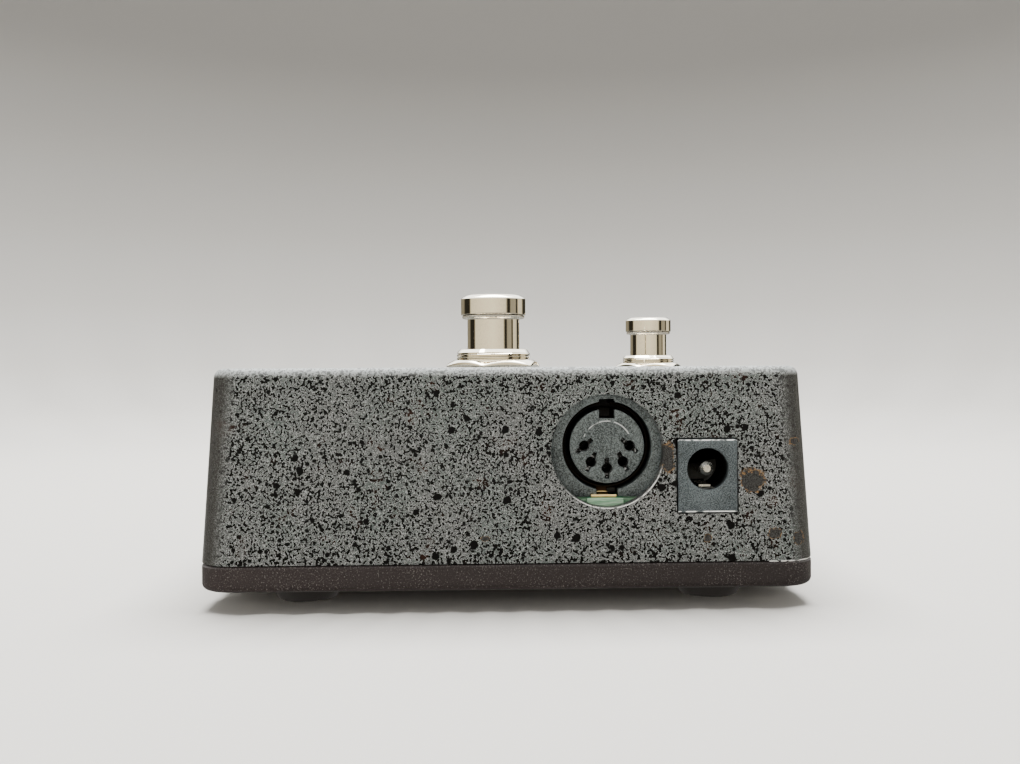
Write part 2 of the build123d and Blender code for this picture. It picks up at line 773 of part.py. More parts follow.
# Five contacts: split tube in the insert, closed rear end, tail down through the board
def make_din_contacts():
    tube_face = din_face - pin_mouth_depth - tube_clearance
    tube_rear_y = -tube_face + tube_length
    with BuildPart() as din_contacts:
        for angle in pin_angles:
            pin_x, pin_z = pin_place(angle)
            with BuildSketch(Plane.XZ.offset(tube_face)):
                with Locations((pin_x, pin_z)):
                    Circle(tube_outer / 2)
                    Circle(tube_inner / 2, mode=Mode.SUBTRACT)
            extrude(amount=-tube_length)
            fin_length = slot_length - 2 * fin_clearance
            with BuildSketch(Plane.XZ.offset(din_face - fin_recess)):
                with Locations(Location((pin_x, pin_z, 0), slot_turn(angle))):
                    Rectangle(fin_length, slot_width - 2 * fin_clearance)
                with Locations((pin_x, pin_z)):
                    Circle(tube_inner / 2, mode=Mode.SUBTRACT)
            extrude(amount=-(slot_depth - fin_recess - fin_clearance))
            # Closed rear end, then the tail out of the housing and down through the board
            with BuildSketch(Plane.XZ.offset(-tube_rear_y + tail_size)):
                with Locations((pin_x, pin_z)):
                    Circle(tube_outer / 2)
            extrude(amount=-tail_size)
            tail_y = din_rear_y + tail_rows[angle]
            with BuildSketch(Plane.XZ.offset(-tube_rear_y)):
                with Locations((pin_x, pin_z)):
                    Rectangle(tail_size, tail_size)
            extrude(amount=-(tail_y + tail_size / 2 - tube_rear_y))
            with BuildSketch(Plane((pin_x, tail_y, tail_bottom_z))):
                Rectangle(tail_size, tail_size)
            extrude(amount=pin_z - tail_bottom_z)
    din_contacts.part.label = "din_contacts"
    export_step(din_contacts.part, "parts/din_contacts.step")


# Split screen ring in the groove, with a tab down to the board
def make_din_screen_ring():
    ring_outer = din_groove_outer / 2 - ring_clearance
    ring_face = din_face - ring_recess
    tab_height = din_z - ring_outer + ring_wall / 2 - board_top_z
    with BuildPart() as din_screen_ring:
        with BuildSketch(Plane.XZ.offset(ring_face)):
            with Locations((din_x, din_z)):
                Circle(ring_outer)
                Circle(ring_outer - ring_wall, mode=Mode.SUBTRACT)
            with Locations((din_x, din_z + ring_outer)):
                Rectangle(
                    ring_outer * math.radians(ring_gap_angle),
                    4 * ring_wall,
                    mode=Mode.SUBTRACT,
                )
        extrude(amount=-ring_length)
        with BuildSketch(Plane.XZ.offset(ring_face)):
            with Locations((din_x + ring_tab_shift, board_top_z + tab_height / 2)):
                Rectangle(ring_tab_width, tab_height)
        extrude(amount=-ring_wall)
        # Foot of the tab, along the mouth floor and spread in front of the socket
        with BuildSketch(Plane.XY.offset(board_top_z)):
            with Locations((din_x + ring_tab_shift, -(ring_face + din_face + ring_foot_gap) / 2)):
                Rectangle(ring_tab_width, din_face + ring_foot_gap - ring_face)
            with Locations((din_x + ring_tab_shift, -din_face - (ring_foot_out + ring_foot_gap) / 2)):
                Rectangle(ring_foot_width, ring_foot_out - ring_foot_gap)
        extrude(amount=ring_foot_thickness)
    din_screen_ring.part.label = "din_screen_ring"
    export_step(din_screen_ring.part, "parts/din_screen_ring.step")


def make_dc_jack():
    face_plane = Plane.XZ.offset(jack_face)
    leaf_z = jack_z - jack_hole_diameter / 2 + leaf_rise
    with BuildPart() as dc_jack_housing:
        with BuildSketch(face_plane):
            with Locations((jack_x, jack_bottom_z + jack_height / 2)):
                RectangleRounded(jack_width, jack_height, jack_edge_radius)
        extrude(amount=-jack_front_block)
        with BuildSketch(face_plane):
            with Locations((jack_x, (jack_bottom_z + jack_z) / 2)):
                Rectangle(jack_width, jack_z - jack_bottom_z)
            with Locations((jack_x, jack_z)):
                Circle(jack_barrel_diameter / 2)
        extrude(amount=-jack_depth)
        with BuildSketch(face_plane):
            with Locations((jack_x, jack_z)):
                Circle(jack_hole_diameter / 2)
        extrude(amount=-jack_hole_depth, mode=Mode.SUBTRACT)
        with BuildSketch(face_plane):
            with Locations((jack_x, jack_z)):
                Rectangle(
                    jack_stub_width + 2 * jack_pin_clearance,
                    jack_stub_width + 2 * jack_pin_clearance,
                )
            with Locations((jack_x, leaf_z + leaf_thickness / 2)):
                Rectangle(
                    leaf_width + 2 * leaf_clearance, leaf_thickness + 2 * leaf_clearance
                )
        extrude(amount=-jack_depth, mode=Mode.SUBTRACT)
    dc_jack_housing.part.label = "dc_jack_housing"
    export_step(dc_jack_housing.part, "parts/dc_jack_housing.step")

    # Centre pin with its rear lug
    pin_face = jack_face - jack_pin_recess
    pin_lug_top_z = jack_z + jack_lug_width / 2
    pin_lug_bottom_z = leaf_z + leaf_width
    with BuildPart() as dc_centre_pin:
        with BuildSketch(Plane.XZ.offset(pin_face)):
            with Locations((jack_x, jack_z)):
                Circle(jack_pin_diameter / 2)
        extrude(amount=-(jack_hole_depth - jack_pin_recess - jack_stub_gap))
        chamfer(dc_centre_pin.edges().group_by(Axis.Y)[0], jack_pin_nose)
        with BuildSketch(Plane.XZ.offset(pin_face - jack_pin_nose)):
            with Locations((jack_x, jack_z)):
                Rectangle(jack_stub_width, jack_stub_width)
        extrude(amount=-(jack_rear_y + pin_face - jack_pin_nose))
        with BuildSketch(Plane.XZ.offset(-jack_rear_y)):
            with Locations((jack_x, (pin_lug_top_z + pin_lug_bottom_z) / 2)):
                Rectangle(jack_lug_width, pin_lug_top_z - pin_lug_bottom_z)
        extrude(amount=-jack_lug_thickness)
    dc_centre_pin.part.label = "dc_centre_pin"
    export_step(dc_centre_pin.part, "parts/dc_centre_pin.step")

    # Sleeve leaf along the bottom of the bore, ending in a lug across the rear
    leaf_face = jack_face - leaf_recess
    leaf_lug_bottom_z = board_top_z + lead_diameter / 2
    leaf_lug_top_z = leaf_z + 2 * leaf_thickness
    with BuildPart() as dc_sleeve_leaf:
        with BuildSketch(Plane.XZ.offset(leaf_face)):
            with Locations((jack_x, leaf_z + leaf_thickness / 2)):
                Rectangle(leaf_width, leaf_thickness)
        extrude(amount=-(jack_rear_y + leaf_face))
        with BuildSketch(Plane.XZ.offset(-jack_rear_y)):
            with Locations((jack_x + jack_lug_shift / 2, (leaf_lug_bottom_z + leaf_lug_top_z) / 2)):
                Rectangle(jack_lug_shift + leaf_width, leaf_lug_top_z - leaf_lug_bottom_z)
        extrude(amount=-jack_lug_thickness)
    dc_sleeve_leaf.part.label = "dc_sleeve_leaf"
    export_step(dc_sleeve_leaf.part, "parts/dc_sleeve_leaf.step")


# A lead along a few runs joined by tangent arcs, as large as the runs allow
def make_lead(name, points):
    corners = [Vector(*point) for point in points]
    radii = []
    for before, corner, after in zip(corners, corners[1:], corners[2:]):
        turn = math.radians((corner - before).get_angle(after - corner))
        shorter = min((corner - before).length, (after - corner).length)
        radii.append(lead_bend_share * shorter / math.tan(turn / 2))
    print(name, "bend radii", [round(radius, 1) for radius in radii])
    route = FilletPolyline(*corners, radius=radii)
    with BuildPart() as lead:
        with BuildLine():
            add(route)
        with BuildSketch(Plane(origin=route @ 0, z_dir=route % 0)):
            Circle(lead_diameter / 2)
        sweep()
    lead.part.label = name
    export_step(lead.part, f"parts/{name}.step")


def make_leads():
    start_y = jack_rear_y + jack_lug_thickness
    pin_lead_z = jack_z + jack_lug_width / 2 - lead_diameter
    leaf_lead_z = board_top_z + lead_diameter + leaf_thickness
    for name, x, z, side in (
        ("dc_lead_red", jack_x, pin_lead_z, -1),
        ("dc_lead_black", jack_x + jack_lug_shift, leaf_lead_z, 1),
    ):
        drift = side * lead_drift
        make_lead(
            name,
            [
                (x, start_y, z),
                (x, start_y + lead_run, z),
                (x + drift, start_y + 2 * lead_run, z + lead_rise),
                (x + drift, start_y + 3 * lead_run, z + lead_rise),
                (x + drift, start_y + 3 * lead_run, board_top_z),
            ],
        )


def make_board():
    left = front_switch_x - board_left_margin
    right = box_width / 2 - board_side_margin
    front = front_y + din_setback + board_front_margin
    rear = rear_switch_y + board_rear_margin
    cut_x = jack_x - jack_width / 2 - board_cut_gap
    cut_y = jack_rear_y + board_cut_gap
    with BuildPart() as circuit_board:
        with BuildSketch(Plane.XY.offset(board_bottom_z)):
            with BuildLine():
                Polyline(
                    (left, front),
                    (cut_x, front),
                    (cut_x, cut_y),
                    (right, cut_y),
                    (right, rear),
                    (left, rear),
                    close=True,
                )
            make_face()
            with Locations((din_x + board_tab_offset, front)):
                Rectangle(board_tab_width, 2 * board_tab_length)
            # Slots for the switch lugs
            for x, y in switch_places.values():
                with Locations((x, y - contact_offset), (x, y + contact_offset)):
                    Rectangle(
                        lug_width + 2 * lug_clearance,
                        lug_thickness + 2 * lug_clearance,
                        mode=Mode.SUBTRACT,
                    )
            # Holes for the DIN tails
            for angle in pin_angles:
                with Locations((pin_place(angle)[0], din_rear_y + tail_rows[angle])):
                    Circle(tail_hole_radius, mode=Mode.SUBTRACT)
        extrude(amount=board_thickness)
    circuit_board.part.label = "circuit_board"
    export_step(circuit_board.part, "parts/circuit_board.step")


def make_chip(x, y):
    with BuildPart() as chip_socket:
        with BuildSketch(Plane((x, y, board_top_z))):
            Rectangle(chip_length, socket_width)
            Rectangle(*socket_window, mode=Mode.SUBTRACT)
        extrude(amount=socket_height)
    chip_socket.part.label = "chip_socket"
    export_step(chip_socket.part, "parts/chip_socket.step")

    socket_top_z = board_top_z + socket_height
    body_z = socket_top_z + chip_lift
    with BuildPart() as microcontroller:
        with BuildSketch(Plane((x, y, body_z))):
            Rectangle(chip_length, chip_width)
        extrude(amount=chip_height)
        with BuildSketch(Plane((x - chip_length / 2, y, body_z + chip_height))):
            Circle(chip_notch_radius)
        extrude(amount=-chip_leg, mode=Mode.SUBTRACT)
        with BuildSketch(Plane((x, y, socket_top_z))):
            with GridLocations(chip_pitch, chip_row, chip_pins, 2):
                Rectangle(chip_leg, chip_leg)
        extrude(amount=chip_lift + chip_height / 2)
        with BuildSketch(Plane((x, y, body_z + chip_height / 2 - chip_leg))):
            with GridLocations(chip_pitch, 0, chip_pins, 1):
                Rectangle(chip_leg, chip_row)
        extrude(amount=chip_leg)
    microcontroller.part.label = "microcontroller"
    export_step(microcontroller.part, "parts/microcontroller.step")


def make_crystal(x, y):
    length, width, height = crystal_size
    with BuildPart() as crystal:
        with BuildSketch(Plane((x, y, board_top_z))):
            SlotOverall(length, width, rotation=90)
        extrude(amount=height)
        fillet(crystal.edges().group_by(Axis.Z)[-1], crystal_edge_radius)
    crystal.part.label = "crystal"
    export_step(crystal.part, "parts/crystal.step")


def make_capacitors(x, y):
    for index, name in enumerate(("input_capacitor", "output_capacitor")):
        place_y = y + index * capacitor_spacing
        with BuildPart() as capacitor:
            with BuildSketch(Plane((x, place_y, board_top_z))):
                Circle(capacitor_diameter / 2)
            extrude(amount=capacitor_height)
            fillet(capacitor.edges().group_by(Axis.Z)[-1], capacitor_edge_radius)
        capacitor.part.label = name
        export_step(capacitor.part, f"parts/{name}.step")


def make_ceramic_capacitors(x, y):
    length, width, height = ceramic_size
    with BuildPart() as ceramic_capacitors:
        with BuildSketch(Plane((x, y, board_top_z))):
            with GridLocations(ceramic_pitch, 0, ceramic_count, 1):
                RectangleRounded(length, width, ceramic_edge_radius)
        extrude(amount=height)
    ceramic_capacitors.part.label = "ceramic_capacitors"
    export_step(ceramic_capacitors.part, "parts/ceramic_capacitors.step")


# Barrel bodies lying along Y, with leads bent down to the board
def make_axial(name, x, y, diameter, length, count, pitch):
    body_z = board_top_z + axial_lift + diameter / 2
    reach = length / 2 + axial_lead_reach
    with BuildPart() as axial:
        with BuildSketch(Plane((x, y + length / 2, body_z), x_dir=(1, 0, 0), z_dir=(0, -1, 0))):
            with GridLocations(pitch, 0, count, 1):
                Circle(diameter / 2)
        extrude(amount=length)
        with BuildSketch(Plane((x, y, body_z - axial_lead / 2))):
            with GridLocations(pitch, 0, count, 1):
                Rectangle(axial_lead, 2 * reach)
        extrude(amount=axial_lead)
        with BuildSketch(Plane((x, y, board_top_z))):
            with GridLocations(pitch, 2 * reach - axial_lead, count, 2):
                Rectangle(axial_lead, axial_lead)
        extrude(amount=body_z - board_top_z)
    axial.part.label = name
    export_step(axial.part, f"parts/{name}.step")


def make_regulator(x, y):
    with BuildPart() as voltage_regulator:
        with BuildSketch(Plane((x, y, board_top_z + regulator_lift))):
            Circle(regulator_diameter / 2)
            with Locations((0, regulator_flat + regulator_diameter / 2)):
                Rectangle(regulator_diameter, regulator_diameter, mode=Mode.SUBTRACT)
        extrude(amount=regulator_height)
        with BuildSketch(Plane((x, y, board_top_z))):
            with GridLocations(regulator_pitch, 0, regulator_legs, 1):
                Rectangle(chip_leg, chip_leg)
        extrude(amount=regulator_lift)
    voltage_regulator.part.label = "voltage_regulator"
    export_step(voltage_regulator.part, "parts/voltage_regulator.step")


def make_header(x, y):
    with BuildPart() as programming_header:
        with BuildSketch(Plane((x, y, board_top_z))):
            Rectangle(header_pins * header_pitch, header_base)
        extrude(amount=header_base)
        with BuildSketch(Plane((x, y, board_top_z + header_base))):
            with GridLocations(header_pitch, 0, header_pins, 1):
                Rectangle(header_pin, header_pin)
        extrude(amount=header_pin_height - header_base)
    programming_header.part.label = "programming_header"
    export_step(programming_header.part, "parts/programming_header.step")


def make_electronics():
    row_y = front_switch_y + middle_row_setback
    make_board()
    make_chip(din_x + chip_from_din, row_y)
    make_crystal(jack_x, row_y)
    make_capacitors(front_switch_x + capacitor_from_switch, row_y + capacitor_row)
    make_ceramic_capacitors(din_x + ceramic_from_din, row_y + ceramic_row)
    make_axial(
        "resistors",
        din_x + resistor_from_din,
        row_y + resistor_row,
        resistor_diameter,
        resistor_length,
        resistor_count,
        resistor_pitch,
    )
    make_axial(
        "polarity_diode", jack_x + diode_from_jack, row_y, diode_diameter, diode_length, 1, 0
    )
    make_regulator(jack_x, row_y + regulator_row)
    make_header(jack_x, row_y + header_row)


make_feet()
make_enclosure()
make_base_lid()
make_lid_screws()
make_footswitches()
make_din_housing()
make_din_insert()
make_din_contacts()
make_din_screen_ring()
make_dc_jack()
make_leads()
make_electronics()
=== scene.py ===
import bmesh
import bpy
import json
import math
from mathutils import Matrix, Vector


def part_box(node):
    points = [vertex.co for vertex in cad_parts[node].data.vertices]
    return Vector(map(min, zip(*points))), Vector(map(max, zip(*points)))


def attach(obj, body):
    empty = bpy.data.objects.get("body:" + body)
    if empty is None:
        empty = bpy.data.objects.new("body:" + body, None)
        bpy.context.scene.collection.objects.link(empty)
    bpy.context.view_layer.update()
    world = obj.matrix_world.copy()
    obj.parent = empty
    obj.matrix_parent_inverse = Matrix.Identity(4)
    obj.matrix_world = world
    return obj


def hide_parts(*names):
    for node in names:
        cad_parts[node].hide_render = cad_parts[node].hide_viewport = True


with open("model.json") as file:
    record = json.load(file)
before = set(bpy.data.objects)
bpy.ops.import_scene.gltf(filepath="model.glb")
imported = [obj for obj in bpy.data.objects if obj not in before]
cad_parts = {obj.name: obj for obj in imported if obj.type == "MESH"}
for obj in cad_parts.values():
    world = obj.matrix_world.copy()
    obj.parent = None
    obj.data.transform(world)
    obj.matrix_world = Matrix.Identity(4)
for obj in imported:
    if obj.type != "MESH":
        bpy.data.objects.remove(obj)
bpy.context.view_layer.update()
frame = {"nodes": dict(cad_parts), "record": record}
cadNodes = frame["nodes"]
slotOfNode = {row["node"]: row["material_slot"] for row in frame["record"]["subparts"]}
mm = 0.001
nudge = 0.01 * mm   # for telling apart points that share a level or a radius
weld = 0.001 * mm
fullTurn = 2 * math.pi
print("frame loaded,", len(cadNodes), "nodes")


def centreOf(node):
    low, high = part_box(node)
    return (low + high) / 2


# small helpers for shader nodes
def feed(tree, socket, value):
    if isinstance(value, bpy.types.NodeSocket):
        tree.links.new(value, socket)
    elif socket.type == "RGBA" and len(value) == 3:
        socket.default_value = (*value, 1.0)
    else:
        socket.default_value = value


def addNode(tree, kind, inputs, **settings):
    made = tree.nodes.new(kind)
    for key, value in settings.items():
        setattr(made, key, value)
    for key, value in inputs.items():
        feed(tree, made.inputs[key], value)
    return made


def calc(tree, operation, first, second=0.0, third=0.0):
    return addNode(tree, "ShaderNodeMath", {0: first, 1: second, 2: third}, operation=operation).outputs[0]


def plus(tree, first, second):
    return calc(tree, "ADD", first, second)


def minus(tree, first, second):
    return calc(tree, "SUBTRACT", first, second)


def times(tree, first, second):
    return calc(tree, "MULTIPLY", first, second)


def larger(tree, first, second):
    return calc(tree, "MAXIMUM", first, second)


def axesOf(tree, coords):
    return addNode(tree, "ShaderNodeSeparateXYZ", {0: coords}).outputs


def remap(tree, value, low, high, toLow=0.0, toHigh=1.0, smooth=False):
    kind = "SMOOTHSTEP" if smooth else "LINEAR"
    values = {0: value, 1: low, 2: high, 3: toLow, 4: toHigh}
    return addNode(tree, "ShaderNodeMapRange", values, interpolation_type=kind).outputs[0]


def mixColor(tree, factor, first, second, blend="MIX"):
    values = {0: factor, 6: first, 7: second}
    return addNode(tree, "ShaderNodeMix", values, data_type="RGBA", blend_type=blend).outputs[2]


def noise(tree, coords, size, detail=2.0, roughness=0.5):
    values = {"Vector": coords, "Scale": 1 / size, "Detail": detail, "Roughness": roughness}
    return addNode(tree, "ShaderNodeTexNoise", values)


def vectorMath(tree, operation, first, second):
    return addNode(tree, "ShaderNodeVectorMath", {0: first, 1: second}, operation=operation).outputs[0]


def scaled(tree, vector, amount):
    return addNode(tree, "ShaderNodeVectorMath", {0: vector, "Scale": amount}, operation="SCALE").outputs[0]


def startMaterial(name, roughness, metallic=0.0, specular=0.5):
    material = bpy.data.materials.new(name)
    material.use_nodes = True
    tree = material.node_tree
    shader = tree.nodes["Principled BSDF"]
    shader.inputs["Roughness"].default_value = roughness
    shader.inputs["Metallic"].default_value = metallic
    shader.inputs["Specular IOR Level"].default_value = specular
    coords = tree.nodes.new("ShaderNodeTexCoord").outputs["Object"]
    return material, tree, shader, coords


def addBump(tree, shader, height, depth, strength=1.0):
    values = {"Height": height, "Distance": depth, "Strength": strength}
    bump = addNode(tree, "ShaderNodeBump", values)
    tree.links.new(bump.outputs[0], shader.inputs["Normal"])


def moveWarp(tree, coords, size, reach):
    wander = vectorMath(tree, "SUBTRACT", noise(tree, coords, size).outputs["Color"], (0.5, 0.5, 0.5))
    return vectorMath(tree, "ADD", coords, scaled(tree, wander, reach))


# scattered drops: a mask that is 1 inside each drop
def drops(tree, coords, look):
    cells = addNode(tree, "ShaderNodeTexVoronoi", {"Vector": coords, "Scale": 1 / look["cell"]})
    chance = addNode(tree, "ShaderNodeSeparateColor", {0: cells.outputs["Color"]})
    radius = remap(tree, chance.outputs[0], 0, 1, look["smallest"], look["largest"])
    kept = calc(tree, "LESS_THAN", chance.outputs[1], look["share"])
    edge = minus(tree, times(tree, radius, kept), cells.outputs["Distance"])
    return remap(tree, edge, -look["softness"], look["softness"])


# distance from a point in the plane of the front wall, and the angle round it
def roundDistance(tree, x, z, axisX, axisZ):
    across = minus(tree, x, axisX)
    upward = minus(tree, z, axisZ)
    squares = plus(tree, times(tree, across, across), times(tree, upward, upward))
    return calc(tree, "SQRT", squares), calc(tree, "ARCTAN2", upward, across)


def greyTone(tree, value):
    return addNode(tree, "ShaderNodeCombineColor", {0: value, 1: value, 2: value}).outputs[0]


granitePaint = {
    "grey": (0.106, 0.110, 0.108),
    "greenGrey": (0.087, 0.101, 0.095),
    "lightRim": (0.46, 0.47, 0.46),
    "black": (0.0012, 0.0011, 0.0011),
    "rust": (0.020, 0.008, 0.005),
    # painted shade for the upright corners, then a painted highlight along the top edge
    "cornerShadeTone": (0.020, 0.0172, 0.0142),
    "topHighlightTone": (0.64, 0.67, 0.66),
    "cornerShadeMix": 0.82,
    "topHighlightMix": 0.5,
    "rimMix": 0.5,
    "rimBelow": (0.09, 0.02),   # where a pale rim starts and ends, below the fleck level
    # fewer flecks where the painted corner shade and the painted top highlight lie
    "thinning": {"corner": 0.55, "topEdge": 0.40},   # share of the flecks left out there
    "wallLean": 3.8,   # degrees
    "cornerBand": (-4.2 * mm, -2.2 * mm),   # inwards from the leaning wall
    "edgeBand": (-2.7 * mm, -1.9 * mm),
    "topBand": (1.5 * mm, 0.8 * mm),   # down from the top face
    "frontDepth": 6 * mm,
    "patchSize": 9 * mm,
    "rustSize": 3.5 * mm,
    "grainSize": 0.15 * mm,
    "grainTone": (0.30, 1.70),
    "peelSize": 0.6 * mm,
    "glossSize": 2.2 * mm,
    "roughness": (0.28, 0.40),
    "specular": 0.07,
    "flecks": {"size": 0.35 * mm, "level": (0.512, 0.532), "crowdSize": 5 * mm, "crowding": 0.018},
    "dropWarps": [(0.4 * mm, 0.30 * mm), (1.2 * mm, 0.7 * mm)],   # size and reach of each bend
    "bigDrops": {"cell": 2.6 * mm, "smallest": 0.07, "largest": 0.26, "share": 0.6, "softness": 0.02},
    "middleDrops": {"cell": 1.0 * mm, "smallest": 0.14, "largest": 0.36, "share": 0.6, "softness": 0.05},
    "coatDepth": 0.05 * mm,
}
# bare patches in mm: from the right edge of the front wall, above the rim, half width, half height
paintChips = [
    (10.05, 12.2, 1.9, 1.8),
    (6.7, 4.2, 1.1, 0.8),
    (2.9, 3.4, 1.0, 1.2),
    (3.3, 18.1, 0.9, 0.6),
    (16.9, 3.7, 0.6, 0.65),
    (50.6, 3.9, 0.7, 0.4),
    (22.9, 15.8, 1.1, 2.4),
]
chipLook = {
    "raggedSize": 0.8 * mm,
    "raggedness": 1.5,
    "brokenSize": 0.5 * mm,
    "border": (0.82, 0.90),   # share of the way out where the border starts
    "borderTones": ((0.07, 0.032, 0.012), (0.34, 0.21, 0.10)),
    "hollowTones": ((0.010, 0.009, 0.008), (0.060, 0.060, 0.058)),
}
# painted highlights: a pale length of the rim, and the lower edge of the round window
paintedEdgeLight = {
    "color": (0.80, 0.79, 0.76),
    "rimStart": 7.6 * mm,
    "rimHeight": 0.20 * mm,
    "partingHeight": 0.16 * mm,
    "lineBreakSize": 0.7 * mm,
    "windowRadius": 8.55 * mm,
    "windowShift": (-0.2 * mm, -0.55 * mm),
    "windowLine": (0.04 * mm, 0.19 * mm),
    "windowArc": (-2.5, -1.9, -0.55, -0.25),   # fades in, then out, in radians
}


# how far a point is into the box's upright corners, where shade is painted, and into its upper edge, where a
# highlight is painted
def cornerShadeAndTopHighlight(tree, coords):
    look = granitePaint
    low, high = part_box("enclosure_body")
    x, y, z = axesOf(tree, coords)
    lean = times(tree, minus(tree, z, low.z), math.tan(math.radians(look["wallLean"])))
    insideX = minus(tree, plus(tree, calc(tree, "ABSOLUTE", x), lean), high.x)
    insideY = minus(tree, plus(tree, calc(tree, "ABSOLUTE", y), lean), high.y)
    cornerBand = look["cornerBand"]
    corner = times(tree, remap(tree, insideX, *cornerBand), remap(tree, insideY, *cornerBand))
    upper = remap(tree, z, *(high.z - down for down in look["topBand"]))
    nearEdge = remap(tree, larger(tree, insideX, insideY), *look["edgeBand"])
    return corner, times(tree, upper, nearEdge)


# dark flecks: fine connected ones, then separate drops; also the field that the fine ones come from
def paintPits(tree, coords, corner, topEdge):
    look = granitePaint
    flecks = look["flecks"]
    field = noise(tree, coords, flecks["size"], 1.2, 0.6).outputs[0]
    crowd = noise(tree, coords, flecks["crowdSize"]).outputs[0]
    field = plus(tree, field, remap(tree, crowd, 0.35, 0.65, -flecks["crowding"], flecks["crowding"]))
    warped = coords
    for size, reach in look["dropWarps"]:
        warped = moveWarp(tree, warped, size, reach)
    scattered = larger(tree, drops(tree, warped, look["middleDrops"]), drops(tree, warped, look["bigDrops"]))
    pits = larger(tree, remap(tree, field, *flecks["level"]), scattered)
    # flecks thinned out in the painted corner shade and in the painted top highlight
    fewerAtCorner = times(tree, corner, look["thinning"]["corner"])
    fewerAtTop = times(tree, topEdge, look["thinning"]["topEdge"])
    return times(tree, pits, minus(tree, 1.0, larger(tree, fewerAtCorner, fewerAtTop))), field


# grey coat with lighter rims and fine grain, with painted shade making it browner and darker at the corners
# and a painted highlight making it paler along the top
def paintCoat(tree, coords, grain, field, corner, topEdge):
    look = granitePaint
    patches = remap(tree, noise(tree, coords, look["patchSize"]).outputs[0], 0.4, 0.62)
    paint = mixColor(tree, patches, look["grey"], look["greenGrey"])
    fleckLevel = look["flecks"]["level"][0]
    rims = remap(tree, field, *(fleckLevel - below for below in look["rimBelow"]))
    paint = mixColor(tree, times(tree, rims, look["rimMix"]), paint, look["lightRim"])
    grainTone = greyTone(tree, remap(tree, grain, 0.32, 0.68, *look["grainTone"]))
    paint = mixColor(tree, 1.0, paint, grainTone, "MULTIPLY")
    # painted shade in the upright corners, then a painted highlight along the top edge
    paint = mixColor(tree, times(tree, corner, look["cornerShadeMix"]), paint, look["cornerShadeTone"])
    return mixColor(tree, times(tree, topEdge, look["topHighlightMix"]), paint, look["topHighlightTone"])


# chipped places: a dark hollow inside a broken brown border
def chipPaint(tree, coords, color, grain, front):
    look = chipLook
    low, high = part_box("enclosure_body")
    x, _, z = axesOf(tree, coords)
    ragged = minus(tree, noise(tree, coords, look["raggedSize"], 4, 0.6).outputs[0], 0.5)
    broken = remap(tree, noise(tree, coords, look["brokenSize"], 2).outputs[0], 0.42, 0.58)
    borderColor = mixColor(tree, grain, *look["borderTones"])
    hollow = mixColor(tree, remap(tree, grain, 0.35, 0.65), *look["hollowTones"])
    for fromRight, aboveRim, halfWidth, halfHeight in paintChips:
        across = calc(tree, "DIVIDE", minus(tree, x, high.x - fromRight * mm), halfWidth * mm)
        upward = calc(tree, "DIVIDE", minus(tree, z, low.z + aboveRim * mm), halfHeight * mm)
        radial, _ = roundDistance(tree, across, upward, 0.0, 0.0)
        distance = plus(tree, radial, times(tree, ragged, look["raggedness"]))
        inside = times(tree, remap(tree, distance, 1.03, 0.97), front)
        border = times(tree, remap(tree, distance, *look["border"]), broken)
        color = mixColor(tree, inside, color, mixColor(tree, border, hollow, borderColor))
    return color


# painted shade along the parting line, a painted highlight on the rim at one end, and a painted highlight
# along the window edge
def paintEdgeShadeAndHighlights(tree, coords, color, front):
    look = paintedEdgeLight
    low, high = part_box("enclosure_body")
    x, _, z = axesOf(tree, coords)
    rise = minus(tree, z, low.z)
    # painted shade: the parting line along the bottom of the body is painted black
    parting = remap(tree, rise, look["partingHeight"] * 1.1, look["partingHeight"] * 0.9)
    color = mixColor(tree, parting, color, granitePaint["black"])
    # painted highlight along the rim at its right end
    rimHighlight = times(tree, calc(tree, "GREATER_THAN", x, high.x - look["rimStart"]), front)
    rimHighlight = times(tree, rimHighlight, remap(tree, rise, look["rimHeight"] * 1.1, look["rimHeight"] * 0.9))
    # painted highlight along the lower edge of the round window
    socket = centreOf("din_insert")
    shiftX, shiftZ = look["windowShift"]
    radial, turn = roundDistance(tree, x, z, socket.x + shiftX, socket.z + shiftZ)
    first, second, third, last = look["windowArc"]
    arc = times(tree, remap(tree, turn, first, second), remap(tree, turn, last, third))
    outside = minus(tree, radial, look["windowRadius"])
    lineStart, lineEnd = look["windowLine"]
    line = times(tree, calc(tree, "GREATER_THAN", outside, lineStart), arc)
    line = times(tree, calc(tree, "LESS_THAN", outside, lineEnd), line)
    line = times(tree, line, front)
    # noise breaks both painted highlights into pieces
    lineBreaks = remap(tree, noise(tree, coords, look["lineBreakSize"], 2).outputs[0], 0.36, 0.44)
    return mixColor(tree, times(tree, larger(tree, rimHighlight, line), lineBreaks), color, look["color"])


